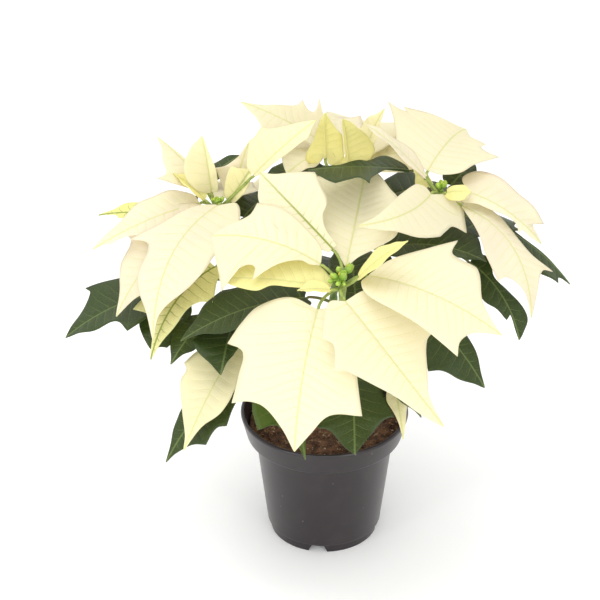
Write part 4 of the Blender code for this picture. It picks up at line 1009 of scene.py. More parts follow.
# %% Grow the right leaves
RIGHT_LEAVES = (
    Blade("right_g9", "leaf", (79, -20, 202), (119, -58, 164), 0, 0.06, 0, 4,
          ((-0.02, 0.12), (0.14, 0.25), (0.40, 0.22), (0.70, 0.12), (0.88, 0.05)),
          ((-0.02, 0.12), (0.14, 0.32), (0.53, 0.58, 1), (0.60, 0.44), (0.85, 0.18)), 0.56),
    Blade("right_g10", "leaf", (110, 20, 227), (147, -15, 179), 0, 0.08, 0.06, 4,
          ((-0.02, 0.12), (0.10, 0.20), (0.28, 0.07), (0.48, 0.12), (0.73, 0.17), (0.84, 0.165),
           (0.94, 0.08)),
          ((-0.02, 0.12), (0.15, 0.26), (0.29, 0.25), (0.46, 0.28), (0.62, 0.17), (0.76, 0.09, 1),
           (0.68, 0.03), (0.90, 0.02)), 0.72),
    Blade("right_g11", "leaf", (45, 0, 252), (121, 0, 239), 0, 0.10, 0, 4,
          ((-0.02, 0.12), (0.20, 0.30), (0.50, 0.36), (0.80, 0.50, 1), (0.90, 0.34), (0.96, 0.12)),
          MID_TOOTH, 0.80),
    Blade("right_g12", "leaf", (122, 50, 248), (187, 22, 206), 0, 0.08, 0, 4,
          ((0.0, 0.08), (0.11, 0.09), (0.30, 0.03), (0.60, 0.02), (0.90, 0.01)),
          ((0.0, 0.12), (0.24, 0.26), (0.55, 0.30), (0.72, 0.28), (0.90, 0.15, 1), (0.88, 0.07)),
          0.84),
    Blade("right_rear", "leaf", (104, 74, 220), (156, 128, 196), 0, 0.12, 0, 5,
          HIGH_TOOTH, MID_TOOTH, 0.78),
    Blade("right_patch", "leaf", (97, 70, 266), (117, 104, 266), 0, 0.05, 0, 5,
          OVAL, OVAL, 0.92),
    Blade("back_g14", "leaf", (64, 58, 286), (-13, 19, 307), -4, 0.03, 0, 5,
          ((0.0, 0.03), (0.20, 0.04), (0.33, 0.09), (0.57, 0.32), (0.68, 0.48, 1), (0.70, 0.35),
           (0.80, 0.36), (0.94, 0.37, 1), (0.97, 0.16)),
          ((0.0, 0.10), (0.12, 0.22), (0.42, 0.11), (0.77, 0.04)), 0.94),
)
grow_leaves("right", RIGHT_LEAVES)

# %% [markdown]
# ## The back bloom
# The youngest bloom, mostly hidden: its middle is a bowl of upright yellow bracts. Its far
# side isn't seen from the front, so the bracts there are guessed from the others.

# %% Grow the back bloom
BACK_BRACTS = (
    Blade("back_left", "cream", (6, 108, 275), (-64, 88, 328), 20, 0.05, 0, 5,
          ((0.0, 0.10), (0.25, 0.16), (0.53, 0.16), (0.80, 0.31, 1), (0.88, 0.15)),
          ((0.0, 0.12), (0.10, 0.29), (0.17, 0.49, 1), (0.22, 0.31), (0.29, 0.28), (0.36, 0.36, 1),
           (0.43, 0.26), (0.62, 0.14), (0.82, 0.05))),
    Blade("back_flap", "cream", (-5, 87, 284), (-29, 62, 280), 0, 0.05, 0, 5,
          ((0.0, 0.15), (0.30, 0.36), (0.70, 0.30), (0.90, 0.10)),
          ((0.0, 0.20), (0.30, 0.50), (0.65, 0.46), (0.88, 0.20))),
    Blade("back_upright", "young", (0, 68, 292), (0, 48, 340), 0, 0.05, 0, 8,
          ((-0.16, 0.08), (-0.06, 0.27), (0.09, 0.27), (0.30, 0.26), (0.42, 0.24), (0.59, 0.14),
           (0.85, 0.05)),
          ((-0.19, 0.16), (-0.09, 0.28), (0.09, 0.25), (0.30, 0.17), (0.74, 0.08))),
    Blade("back_young", "lime", (5, 76, 283), (-6, 70, 304), 0, 0.05, 0, 20,
          HALF_CUP, HALF_CUP),
    Blade("back_bowl", "young", (18, 70, 281), (13, 40, 339), 0, 0.06, 0, 25,
          ((0.0, 0.20), (0.11, 0.30), (0.21, 0.33), (0.48, 0.23), (0.75, 0.12), (0.90, 0.05)),
          ((-0.10, 0.14), (-0.04, 0.24), (0.04, 0.16), (0.14, 0.05), (0.47, 0.04), (0.85, 0.03))),
    Blade("back_right", "pale", (32, 92, 284), (46, 100, 316), 0, 0.05, 0, 14,
          HALF_CUP, HALF_CUP),
    Blade("back_far", "cream", (20, 104, 274), (46, 192, 252), 0, 0.12, 0, 4,
          TWO_TEETH, MID_TOOTH),
    Blade("back_far_left", "rosy", (4, 104, 274), (-38, 184, 244), 0, 0.14, 0, 4,
          MID_TOOTH, TWO_TEETH),
    Blade("back_side_left", "rosy", (-6, 98, 256), (-64, 122, 232), 0, 0.08, 0, 4,
          HIGH_TOOTH, OVAL),
    Blade("back_side_right", "cream", (30, 96, 270), (104, 142, 244), 0, 0.12, 0, 4,
          OVAL, HIGH_TOOTH),
)
grow_bloom("back", BACK_BRACTS)

# %% [markdown]
# ## Leaves of the back shoot
# They are nearly out of sight from the front, and close the plant's outline from the sides
# and from behind. No picture shows them, so they repeat the usual shapes.

# %% Grow the back leaves
BACK_LEAVES = (
    Blade("back_rear", "leaf", (16, 110, 240), (6, 186, 214), 0, 0.12, 0, 5,
          HIGH_TOOTH, MID_TOOTH, 0.80),
    Blade("back_rear_right", "leaf", (48, 104, 236), (112, 140, 212), 0, 0.12, 0, 5,
          MID_TOOTH, HIGH_TOOTH, 0.74),
    Blade("back_rear_left", "leaf", (-16, 108, 206), (-74, 146, 182), 0, 0.12, 0, 5,
          HIGH_TOOTH, MID_TOOTH, 0.70),
    Blade("back_patch", "leaf", (2, 104, 260), (-48, 82, 264), 0, 0.06, 0, 5, SLIM,
          ((0.0, 0.12), (0.20, 0.38), (0.40, 0.46, 1), (0.50, 0.30), (0.67, 0.25), (0.87, 0.09)),
          0.86),
    Blade("back_low", "leaf", (14, 84, 176), (22, 148, 146), 0, 0.12, 0, 5,
          MID_TOOTH, HIGH_TOOTH, 0.42),
)
grow_leaves("back", BACK_LEAVES)

# %% [markdown]
# ## Single bracts low on the shoots
# Three blades turned colour far below their bloom: two pale ones, and one still half green.
# Each is a piece of its own, because its stalk leaves the shoot among the green leaves.

# %% Grow the low bracts
ROOT_GAP = 0.5


def grow_low_bract(shoot, bract, finish):
    piece = Gathered()
    _, at = shoot_path(shoot)
    root = at(bract.root)
    outward = unit(np.array(bract.start) - root)
    grow_blade(piece, bract, root + outward * (SHOOT_RADIUS + ROOT_GAP))
    made = piece.piece(bract.name + "_blade", (finish, bract_stalk))
    settle(made, bract.name)


FRONT_LOW_BRACTS = (
    Blade("low_bract_left", "pale", (-66, -46, 193), (-104, -120, 150), -2, 0.05, 0, 4,
          ((0.0, 0.08), (0.10, 0.14), (0.22, 0.16), (0.40, 0.19), (0.52, 0.20), (0.63, 0.17),
           (0.76, 0.08), (0.90, 0.03)),
          ((-0.02, 0.10), (0.08, 0.22), (0.16, 0.28), (0.30, 0.32, 1), (0.36, 0.27), (0.46, 0.27),
           (0.68, 0.16), (0.88, 0.04)), 0.60),
    Blade("low_bract_right", "pale", (51, -76, 179), (57, -106, 150), 0, 0.06, 0, 6,
          ((0.0, 0.10), (0.30, 0.16), (0.55, 0.12), (0.75, 0.07), (0.90, 0.03)),
          ((0.0, 0.10), (0.25, 0.20), (0.45, 0.14), (0.70, 0.05), (0.88, 0.02)), 0.44),
)
for low_bract in FRONT_LOW_BRACTS:
    grow_low_bract("front", low_bract, cream_bract)

HALF_GREEN = Blade(
    "variegated_bract", "half_green", (-83, 10, 229), (-130, -55, 187), -8, 0.12, -0.03, 5,
    ((0.0, 0.10), (0.15, 0.20), (0.30, 0.31), (0.41, 0.37, 1), (0.41, 0.25), (0.48, 0.19),
     (0.66, 0.15), (0.81, 0.08)),
    ((0.0, 0.10), (0.20, 0.24), (0.40, 0.27), (0.66, 0.33, 1), (0.67, 0.14), (0.76, 0.07)), 0.78)
grow_low_bract("left", HALF_GREEN, half_green_bract)

# %% [markdown]
# ## Flower cups
# The true flowers are small green cups in the middle of each bloom. An open cup has a frayed
# rim and a yellow nectar lip on its side, and a closed one is a softly ribbed egg. One plain
# green would make beads of them, so they turn paler from foot to rim and are a little spotty.

# %% Cup finishes
def cup_finish(name, low_colour, high_colour):
    finish, tree = new_finish(name)
    height = written(tree, "fresh")
    spots = rough_noise(tree, 700.0, 2.0)
    colour = blend(tree, band(tree, height, 0.1, 0.95), low_colour, high_colour)
    darker = blend(tree, band(tree, spots, 0.45, 0.75), colour, low_colour)
    skin = put(tree, "ShaderNodeBsdfPrincipled", {"Base Color": darker, "Roughness": 0.4})
    skin.inputs["Subsurface Weight"].default_value = 0.1
    show(tree, skin)
    return finish


green_cup = cup_finish("green_cup", (0.17, 0.30, 0.03, 1), (0.42, 0.58, 0.07, 1))
nectar_lip = cup_finish("nectar_lip", (0.50, 0.46, 0.03, 1), (0.72, 0.62, 0.05, 1))
print("cup finishes ready")

# %% [markdown]
# Each cup is a shape of revolution with eight soft ribs, tilted away from the middle of the
# cluster. A sphere pressed into shape would do for a bud, but not for an open cup, so both are
# turned. The cup's profile runs from its foot up the outside, over the rim and down inside.

# %% Shape a flower cup
BUD = ((0.0, -1.1), (0.42, -1.0), (0.74, -0.62), (0.86, -0.1), (0.78, 0.42), (0.5, 0.86),
       (0.22, 1.05), (0.0, 1.1))
CUP = ((0.0, -1.1), (0.44, -1.0), (0.76, -0.62), (0.87, -0.1), (0.8, 0.5), (0.7, 0.86),
       (0.62, 1.02), (0.52, 0.94), (0.5, 0.6), (0.3, 0.45), (0.0, 0.42))
CUP_SIDES = 24
CUP_RIBS = 8
CUP_RIB_HEIGHT = 0.035
CUP_RIM_ROW = 6
FRAY = 0.16
LIP = ((0.0, -0.28), (0.7, -0.3), (1.0, -0.05), (0.95, 0.22), (0.6, 0.05), (0.0, 0.0))
LIP_SIDES = 16
LIP_SIZE = 0.42
LIP_OUT = 0.8
LIP_UP = 0.45
LIP_WIDTH = 1.25
LIP_HEIGHT_SHARE = 0.8
CUP_SLOT = 0
LIP_SLOT = 1


def frame_along(direction):
    up = unit(np.array(direction, float))
    side = unit(np.cross(up, (0.3, 1.0, 0.2)))
    return side, np.cross(up, side), up


def grow_cup(piece, centre, radius, direction, opened):
    side, ahead, up = frame_along(direction)
    profile = np.array(CUP if opened else BUD)
    turn = full_turn(CUP_SIDES)
    rib = 1 + CUP_RIB_HEIGHT * np.cos(CUP_RIBS * turn)
    fray = np.zeros((len(profile), CUP_SIDES))
    if opened:
        fray[CUP_RIM_ROW] = FRAY * np.abs(np.sin(2.5 * turn))
    rings = (centre + radius * (
        profile[:, 0, None, None] * rib[None, :, None]
        * (np.cos(turn)[None, :, None] * side + np.sin(turn)[None, :, None] * ahead)
        + (profile[:, 1, None] + fray)[..., None] * up))
    height = np.repeat(np.linspace(0, 1, len(profile)), CUP_SIDES)
    piece.add(rings, turned_faces(len(profile), CUP_SIDES), CUP_SLOT, fresh=height)
    if opened:
        grow_lip(piece, centre + radius * (LIP_OUT * side + LIP_UP * up), radius * LIP_SIZE,
                 side, up)


def grow_lip(piece, centre, size, out, up):
    """A small thick oval dish that stands out from the cup's side."""
    across = np.cross(out, up)
    turn = full_turn(LIP_SIDES)[:, None]
    rings = [centre + size * (r * (np.cos(turn) * across * LIP_WIDTH
                                   + np.sin(turn) * up * LIP_HEIGHT_SHARE) + h * out)
             for r, h in LIP]
    piece.add(rings, turned_faces(len(LIP), LIP_SIDES), LIP_SLOT, fresh=0.8)


print("a bud has", len(BUD), "rings and an open cup", len(CUP))

# %% [markdown]
# The cups of a bloom sit on a small cushion at the end of its shoot, each on a short stalk.
# They could be sown by dice, but their places and sizes were read off the photograph, and so
# was which of them are open.

# %% Grow the flower cups
CYATHIA = {
    "front": (((12.4, -60, 262.5), 3.6), ((17, -56, 266.6), 3.4), ((9.5, -55, 264.8), 2.6),
              ((5.8, -60, 262.4), 3.0), ((3.3, -64, 260.6), 2.1), ((8.7, -66, 259.8), 2.2),
              ((13.2, -66, 259.4), 1.6)),
    "left": (((-81.7, 37, 271.0), 3.2), ((-78.5, 40, 270.0), 2.4), ((-85.0, 40, 269.6), 1.8)),
    "right": (((86, 48, 277.5), 2.8), ((90, 47, 279.0), 2.8), ((88, 52, 278.0), 2.2)),
    "back": (((14, 86, 277.5), 2.8), ((18, 88, 277.0), 2.2), ((16, 92, 276.4), 2.0)),
}
OPEN_CUPS = {("front", 0), ("front", 1), ("left", 0), ("right", 1), ("back", 0)}
CUSHION_GIRTH = np.array((1.7, 1.9, 1.9, 1.7, 1.2))
CUSHION_HEIGHT = 2.4
CUSHION_SIDES = 12
CUSHION_GAP = 0.3
CUP_STALK_FOOT = 1.5
CUP_STALK_GIRTH = np.full(len(CUSHION_GIRTH), 0.8)


def short_tube(start, end, normal, girth, sides=STALK_SIDES):
    """A straight tube with a ring for each number of its girth."""
    rise = np.linspace(0, 1, len(girth))[:, None]
    normals = np.tile(normal, (len(girth), 1))
    directions = np.tile(unit(end - start), (len(girth), 1))
    return ring_tube(start + rise * (end - start), normals, directions, girth, girth, sides)


for shoot, cups in CYATHIA.items():
    cluster = Gathered()
    foot = np.array(HUBS[shoot]) + (0, 0, CUSHION_GAP)
    cushion = short_tube(foot, foot + (0, 0, CUSHION_HEIGHT), (0.0, 1.0, 0.0), CUSHION_GIRTH,
                         CUSHION_SIDES)
    cluster.add(*cushion, CUP_SLOT, fresh=0.2)
    for number, (centre, radius) in enumerate(cups):
        centre = np.array(centre, float)
        stalk = short_tube(foot + (0, 0, CUP_STALK_FOOT), centre, (0.2, 1.0, 0.1), CUP_STALK_GIRTH)
        cluster.add(*stalk, CUP_SLOT, fresh=0.2)
        grow_cup(cluster, centre, radius, centre - foot, (shoot, number) in OPEN_CUPS)
    made = cluster.piece(shoot + "_flower_cups", (green_cup, nectar_lip))
    settle(made, f"bloom_{shoot}_cyathia")

# %% [markdown]
# ## The old stem
# The plant was pinched back once, so a short woody stem forks into the four shoots. It
# stands in the soil, with old leaf scars. A plain cylinder would show none of them, so it is a
# tube that swells at each scar and at the fork.

# %% Grow the old stem
STEM_FOOT = 72.3
STEM_RINGS = 40
SCAR_HEIGHTS = (84, 103, 110, 117)
SCAR_KNOB = {"height": 0.5, "reach": 1.6}
FORK_KNOB = {"height": 0.4, "reach": 3}
TRUNK_TRIM = 0.25
TRUNK_SIDES = 20
STUB_SHARE = 0.82
STUB_NODE = 0.12

wood = Gathered()
heights = np.linspace(STEM_FOOT, FORK[2] + 1.0, STEM_RINGS)
trunk = np.stack([np.zeros(STEM_RINGS), np.zeros(STEM_RINGS), heights], -1)
knobs = sum(mound(heights - scar, **SCAR_KNOB) for scar in SCAR_HEIGHTS)
girth = STEM_RADIUS - TRUNK_TRIM + knobs + mound(heights - FORK[2], **FORK_KNOB)
points, faces = ring_tube(trunk, np.tile((0.0, -1.0, 0.0), (STEM_RINGS, 1)),
                          np.tile((0.0, 0.0, 1.0), (STEM_RINGS, 1)), girth, girth, TRUNK_SIDES)
wood.add(points, faces, 0)
for shoot in HUBS:
    grow_stem(wood, shoot, 0.0, STUB_END, (STEM_RADIUS * STUB_SHARE, SHOOT_RADIUS), 0,
              nodes=(STUB_NODE,))
settle(wood.piece("old_stem", (old_wood,)), "main_stem")

# %% [markdown]
# ## Soil
# Peat mix fills the pot to about a centimetre below its rim. Its body follows the inside of
# the pot, and loose crumbs, wood chips and a few tan grains lie on it. A picture of soil would
# stay flat at the pot's rim, so the finish only has the colours and the finest grain, and the
# lumps are real ones.

# %% Soil finish
def soil_finish(name, dark, pale, grain):
    finish, tree = new_finish(name)
    clods = rough_noise(tree, 180.0, 6.0)
    fibres = rough_noise(tree, 900.0, 3.0)
    colour = blend(tree, band(tree, clods, 0.35, 0.7), dark, pale)
    colour = blend(tree, band(tree, fibres, 0.62, 0.72), colour, grain)
    height = sums(tree, "ADD", clods, sums(tree, "MULTIPLY", fibres, 0.5))
    show(tree, skin_of(tree, colour, 0.95, raised(tree, height, 0.8, 0.001)))
    return finish


peat = soil_finish(
    "peat", (0.060, 0.026, 0.013, 1), (0.165, 0.078, 0.038, 1), (0.42, 0.27, 0.15, 1))
wood_chip = soil_finish(
    "wood_chip", (0.20, 0.12, 0.06, 1), (0.34, 0.23, 0.12, 1), (0.45, 0.33, 0.2, 1))
pale_grain = soil_finish(
    "pale_grain", (0.36, 0.24, 0.15, 1), (0.55, 0.42, 0.30, 1), (0.70, 0.60, 0.48, 1))
print("soil finishes ready")

# %% [markdown]
# The soil's body is a stack of rings, and noise lifts the rings of its top into clods. The
# same could be done by a Displace modifier, but then the crumbs wouldn't know where the clods
# are. Its underside follows the measures of the pot, a little inside the wall.

# %% Heap the soil
POT_HEIGHT = 107.0
RIM_RADIUS = 65.0
LIP_HEIGHT = 20.0
LIP_BOTTOM = POT_HEIGHT - LIP_HEIGHT
LIP_FOOT_RADIUS = 60.5
SHOULDER_RADIUS = 53.5
LOWER_WALL_RADIUS = 44.2
FOOT_RADIUS = 42.0
FOOT_HEIGHT = 8.0
WALL = 1.8
FLOOR_UNDER = 7.0
PAD_RADIUS = 13.0
GAP = 0.3
SOIL_RADIUS = 57.8
SOIL_REACHES = (0, 20, 44, SOIL_RADIUS)
SOIL_HEIGHTS = (SOIL_CROWN, 97.4, 95.8, 94.0)
SOIL_RINGS = 60
SOIL_SIDES = 160
SOIL_UNDERSIDE = (
    (LIP_FOOT_RADIUS - WALL * 1.6 - GAP, LIP_BOTTOM + WALL + 1 + GAP / 2),
    (SHOULDER_RADIUS - WALL - GAP, LIP_BOTTOM - 1 + GAP / 2),
    (LOWER_WALL_RADIUS - WALL - GAP, FLOOR_UNDER + WALL + GAP), (0.0, FLOOR_UNDER + WALL + GAP),
)
CLOD_HEIGHT = 1.5
FINE_HEIGHT = 0.45
EDGE_CALM = 3.0
MIDDLE_CALM = 1.5

soil = Gathered()
turn = full_turn(SOIL_SIDES)
reach = np.linspace(0.0, SOIL_RADIUS, SOIL_RINGS)
crown = np.interp(reach, SOIL_REACHES, SOIL_HEIGHTS)
top = np.stack([reach[:, None] * np.cos(turn), reach[:, None] * np.sin(turn),
                np.broadcast_to(crown[:, None], (SOIL_RINGS, SOIL_SIDES))], -1)
for ring in range(SOIL_RINGS):
    outer_calm = min(1.0, (SOIL_RADIUS - reach[ring]) / EDGE_CALM)
    inner_calm = min(1.0, reach[ring] / MIDDLE_CALM)
    for step in range(SOIL_SIDES):
        place = Vector(top[ring, step])
        clod = noise.fractal(place * 0.16, 1.0, 2.0, 4)
        fine = noise.noise(place * 0.9)
        lift = CLOD_HEIGHT * clod + FINE_HEIGHT * fine
        top[ring, step, 2] += lift * outer_calm * inner_calm
low = [np.stack([radius * np.cos(turn), radius * np.sin(turn), np.full(SOIL_SIDES, height)], -1)
       for radius, height in SOIL_UNDERSIDE]
rings = np.concatenate([top, np.array(low)])
soil.add(rings, turned_faces(len(rings), SOIL_SIDES, top_first=True), 0)
print("the soil's body has", len(rings), "rings")

# %% [markdown]
# The crumbs are small lumpy balls. Blender's particles could sow them. Dice that always fall
# the same way are simpler, and give the same soil in each run.

# %% Sow the crumbs
CRUMBS = 900
CRUMB_KINDS = (0, 0, 0, 0, 0, 1, 1, 2)
WOOD_KIND = 1
GRAIN_KIND = 2
CRUMB_SIZE = (0.5, 1.7)
GRAIN_SIZE = (0.5, 1.0)
CHIP_STRETCH = (1.2, 2.6)
LUMPINESS = 0.22
SOWN_TO = 0.97
SUNK = 0.2

dice = np.random.RandomState(11)
ball = bmesh.new()
bmesh.ops.create_icosphere(ball, subdivisions=1, radius=1.0)
ball_points = np.array([vert.co[:] for vert in ball.verts])
ball_faces = [tuple(vert.index for vert in face.verts) for face in ball.faces]
ball.free()
for crumb in range(CRUMBS):
    distance = SOIL_RADIUS * SOWN_TO * math.sqrt(dice.uniform(0.01, 1))
    angle = dice.uniform(0, 2 * math.pi)
    kind = int(dice.choice(CRUMB_KINDS))
    size = dice.uniform(*(GRAIN_SIZE if kind == GRAIN_KIND else CRUMB_SIZE))
    stretch = np.array((1.0, dice.uniform(0.5, 0.9), dice.uniform(0.4, 0.8))) * size
    if kind == WOOD_KIND:
        stretch *= (dice.uniform(*CHIP_STRETCH), 0.55, 0.5)
    lumps = 1 + LUMPINESS * dice.standard_normal(len(ball_points))
    spun = (ball_points * lumps[:, None]) * stretch
    twist = dice.uniform(0, 2 * math.pi)
    spin = np.array(((math.cos(twist), -math.sin(twist), 0), (math.sin(twist), math.cos(twist), 0),
                     (0, 0, 1)))
    ring = int(round(distance / SOIL_RADIUS * (SOIL_RINGS - 1)))
    step = int(angle / (2 * math.pi) * SOIL_SIDES) % SOIL_SIDES
    seat = top[ring, step] + (0, 0, SUNK * size)
    soil.add(spun @ spin.T + seat, ball_faces, kind)
settle(soil.piece("potting_soil", (peat, wood_chip, pale_grain)), "soil")

# %% [markdown]
# ## The nursery pot
# A thin moulded pot: a deep lip with a rolled rim, a shoulder under it, a tapered wall and a
# foot ring with four notches. Its skin is satin, so it mirrors the lights softly. A single
# colour and roughness would do for a new pot, but this one is a little cloudy, with pale
# specks of dust, so two noises vary both.

# %% Pot finish
BLACK = (0.013, 0.008, 0.010, 1)
CLOUDY_BLACK = (0.020, 0.014, 0.016, 1)
DUST = (0.35, 0.33, 0.30, 1)


def pot_finish():
    finish, tree = new_finish("satin_black_plastic")
    clouds = rough_noise(tree, 60.0, 6.0)
    specks = put(tree, "ShaderNodeTexVoronoi", {"Vector": own_place(tree), "Scale": 95.0})
    speck = band(tree, specks.outputs["Distance"], 0.07, 0.03)
    grain = rough_noise(tree, 2500.0, 2.0)
    colour = blend(tree, band(tree, clouds, 0.45, 0.75), BLACK, CLOUDY_BLACK)
    colour = blend(tree, sums(tree, "MULTIPLY", speck, 0.5), colour, DUST)
    shine = sums(tree, "ADD", sums(tree, "MULTIPLY", clouds, 0.10), 0.26)
    show(tree, skin_of(tree, colour, shine, raised(tree, grain, 0.25, 0.0001)))
    return finish


satin_black_plastic = pot_finish()
print("pot finish:", satin_black_plastic.name)

# %% [markdown]
# The pot is turned again with the profile of its solid and many more steps. The rim gets a
# round bead. A Bevel modifier could round the other corners, but it would round the notches
# too, so the profile itself runs through short arcs.

# %% Turn the pot
POT_STEPS = 144
EASE = 0.7
ON_AXIS = 1e-6


def eased(profile, reach):
    """The profile with each inner corner swapped for four points of an arc."""
    profile = [np.array(point, float) for point in profile]
    out = [profile[0]]
    for before, corner, after in zip(profile, profile[1:], profile[2:]):
        back = min(reach, np.linalg.norm(corner - before) * 0.4)
        on = min(reach, np.linalg.norm(after - corner) * 0.4)
        first = corner + unit(before - corner) * back
        last = corner + unit(after - corner) * on
        for t in (0.0, 0.33, 0.67, 1.0):
            out.append(first * (1 - t) ** 2 + corner * (2 * t * (1 - t)) + last * t**2)
    return out + [profile[-1]]


foot_inside = FOOT_RADIUS - WALL * 1.4
POT_PROFILE = (
    (0, FLOOR_UNDER + WALL), (LOWER_WALL_RADIUS - WALL, FLOOR_UNDER + WALL),
    (SHOULDER_RADIUS - WALL, LIP_BOTTOM - 1), (LIP_FOOT_RADIUS - WALL * 1.6, LIP_BOTTOM + WALL + 1),
    (RIM_RADIUS - WALL * 1.7, POT_HEIGHT - 2.5), (RIM_RADIUS - WALL * 1.5, POT_HEIGHT - 0.6),
    (RIM_RADIUS - WALL, POT_HEIGHT), (RIM_RADIUS - 0.6, POT_HEIGHT - 0.5),
    (RIM_RADIUS, POT_HEIGHT - 2), (RIM_RADIUS - 0.7, POT_HEIGHT - 4.5),
    (LIP_FOOT_RADIUS, LIP_BOTTOM + 0.8), (LIP_FOOT_RADIUS - 0.8, LIP_BOTTOM),
    (SHOULDER_RADIUS, LIP_BOTTOM - 3), (LOWER_WALL_RADIUS, FOOT_HEIGHT),
    (FOOT_RADIUS, FOOT_HEIGHT - 1), (FOOT_RADIUS - 0.4, 0), (foot_inside, 0),
    (foot_inside - 0.5, FLOOR_UNDER), (PAD_RADIUS + 1, FLOOR_UNDER), (PAD_RADIUS, 0), (0, 0),
)
turned = bmesh.new()
rows = []
for radius, height in eased(POT_PROFILE, EASE):
    if radius < ON_AXIS:
        rows.append([turned.verts.new((0, 0, height * MM))])
    else:
        rows.append([turned.verts.new((radius * math.cos(a) * MM, radius * math.sin(a) * MM,
                                       height * MM)) for a in full_turn(POT_STEPS)])
for one, two in zip(rows, rows[1:]):
    for i in range(POT_STEPS):
        j = (i + 1) % POT_STEPS
        if len(one) == 1:
            turned.faces.new((one[0], two[i], two[j]))
        elif len(two) == 1:
            turned.faces.new((one[i], two[0], one[j]))
        else:
            turned.faces.new((one[i], two[i], two[j], one[j]))
bmesh.ops.recalc_face_normals(turned, faces=turned.faces)
pot_mesh = bpy.data.meshes.new("nursery_pot")
turned.to_mesh(pot_mesh)
turned.free()
pot = into_scene("nursery_pot", pot_mesh)
print("turned pot has", len(pot_mesh.polygons), "faces")

# %% [markdown]
# Four notches in the foot ring and four drain holes in the floor let water run off. They could
# be left out of the rings face by face. Cutting them with one Boolean from simple prisms is
# shorter, and the prisms are taken away again afterwards.

# %% Cut the pot
NOTCH_WIDTH = 14.6
NOTCH_FLARE = 0.8
NOTCH_TOP = 9.5
NOTCH_HEIGHT = 6.0
NOTCH_TURN = -97.0
NOTCH_REACHES = (FOOT_RADIUS - 12, FOOT_RADIUS + 8)
NOTCH_SECTION = (
    (-NOTCH_WIDTH / 2 - NOTCH_FLARE, -1), (NOTCH_WIDTH / 2 + NOTCH_FLARE, -1),
    (NOTCH_TOP / 2, NOTCH_HEIGHT), (-NOTCH_TOP / 2, NOTCH_HEIGHT),
)
DRAIN_RADIUS = 3.5
DRAIN_REACH = 28.0
DRAIN_SIDES = 24
DRAIN_ENDS = (-2, 18)
SHARP_ANGLE = math.radians(40)


def add_prism(cutter, ends):
    """A closed prism between two loops of points, in millimetres."""
    near, far = [[cutter.verts.new(Vector(point) * MM) for point in end] for end in ends]
    cutter.faces.new(near)
    cutter.faces.new(far)
    for i in range(len(near)):
        j = (i + 1) % len(near)
        cutter.faces.new((near[i], near[j], far[j], far[i]))


tools = bpy.data.collections.new("tools")
bpy.context.scene.collection.children.link(tools)
for quarter in range(4):
    angle = math.radians(NOTCH_TURN + 90 * quarter)
    ahead = Vector((math.cos(angle), math.sin(angle), 0))
    across = Vector((-ahead.y, ahead.x, 0))
    cutter = bmesh.new()
    add_prism(cutter, [[ahead * reach + across * x + Vector((0, 0, z)) for x, z in NOTCH_SECTION]
                       for reach in NOTCH_REACHES])
    hole = math.radians(NOTCH_TURN + 45 + 90 * quarter)
    middle = Vector((math.cos(hole), math.sin(hole), 0.0)) * DRAIN_REACH
    add_prism(cutter, [[middle + Vector((DRAIN_RADIUS * math.cos(a), DRAIN_RADIUS * math.sin(a), z))
                        for a in full_turn(DRAIN_SIDES)] for z in DRAIN_ENDS])
    bmesh.ops.recalc_face_normals(cutter, faces=cutter.faces)
    data = bpy.data.meshes.new("cutter")
    cutter.to_mesh(data)
    cutter.free()
    tools.objects.link(bpy.data.objects.new("cutter", data))
cut = pot.modifiers.new("cut", "BOOLEAN")
cut.operation = "DIFFERENCE"
cut.operand_type = "COLLECTION"
cut.collection = tools
cut.solver = "EXACT"
bpy.context.view_layer.update()
done = bpy.data.meshes.new_from_object(pot.evaluated_get(bpy.context.evaluated_depsgraph_get()))
pot.modifiers.clear()
pot.data = done
for gone in list(tools.objects):
    bpy.data.objects.remove(gone)
bpy.data.collections.remove(tools)
done.materials.clear()
done.materials.append(satin_black_plastic)
done.polygons.foreach_set("material_index", [0] * len(done.polygons))
done.set_sharp_from_angle(angle=SHARP_ANGLE)
settle(pot, "pot")

# %% [markdown]
# ## Studio
# The plant stands on a white floor, lit from all round by a white sky. A picture of a studio
# wrapped round the scene could light it as well. A plain sky and four lamps need no file, and
# each can be tuned by itself. Two slim upright lamps stand low, one on each side, and give the
# pot its sheen. A wide one in front fills the shadows, and another hangs above. The floor
# glows faintly, as milky acrylic lit from below.

# %% Floor, lamps and sky
WHITE = (1.0, 1.0, 1.0, 1)
SKY_STRENGTH = 1.03
FLOOR_GLOW = 0.05
FLOOR_HALF = 6.0


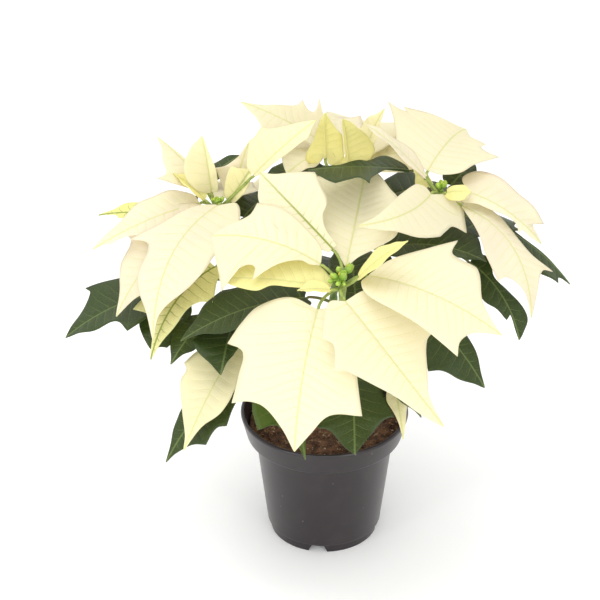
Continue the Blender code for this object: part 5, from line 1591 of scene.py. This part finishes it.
def soft_lamp(name, place, aim, size, watts):
    lamp = into_scene(name, bpy.data.lights.new(name, "AREA"))
    lamp.data.shape = "RECTANGLE"
    lamp.data.size, lamp.data.size_y = size
    lamp.data.energy = watts
    lamp.location = place
    lamp.rotation_euler = (Vector(aim) - Vector(place)).to_track_quat("-Z", "Y").to_euler()


soft_lamp("tall_left", (-0.9, -0.9, 0.45), (0, 0, 0.1), (0.16, 0.85), 2.5)
soft_lamp("tall_right", (0.65, -1.1, 0.45), (0, 0, 0.1), (0.14, 0.85), 2.5)
soft_lamp("front", (-0.2, -2.0, 1.3), (0, 0, 0.2), (1.8, 1.0), 12)
soft_lamp("high", (-0.4, 0.1, 1.9), (0, 0, 0.2), (1.4, 1.2), 12)

sky = bpy.data.worlds.new("sky")
bpy.context.scene.world = sky
sky.use_nodes = True
background = sky.node_tree.nodes["Background"]
background.inputs["Color"].default_value = WHITE
background.inputs["Strength"].default_value = SKY_STRENGTH
bpy.context.scene.view_settings.view_transform = "Standard"

white_floor, floor_tree = new_finish("white_floor")
mottle = rough_noise(floor_tree, 3.0)
shade = blend(floor_tree, mottle, (0.96, 0.96, 0.96, 1), (0.98, 0.98, 0.98, 1))
paint = put(floor_tree, "ShaderNodeBsdfPrincipled", {
    "Base Color": shade, "Roughness": 0.6, "Emission Color": WHITE,
    "Emission Strength": FLOOR_GLOW})
show(floor_tree, paint)
floor_mesh = bpy.data.meshes.new("floor")
corners = [(x * FLOOR_HALF, y * FLOOR_HALF, 0.0) for x, y in ((-1, -1), (1, -1), (1, 1), (-1, 1))]
floor_mesh.from_pydata(corners, [], [(0, 1, 2, 3)])
floor_mesh.materials.append(white_floor)
floor = into_scene("floor", floor_mesh)
floor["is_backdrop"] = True
print("studio ready")

# %% [markdown]
# ## Sizes
# Contact is felt by the solids and seen on the finer pieces, so these should stay within the
# box of the solids. Both boxes are measured and printed.

# %% Print the sizes
boxes = {"solids": [list(corner) for corner in solid_box],
         "dressed": [list(corner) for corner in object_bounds()]}
for name, (low_corner, high_corner) in boxes.items():
    print(name, [round((b - a) * 1000, 1) for a, b in zip(low_corner, high_corner)], "mm")
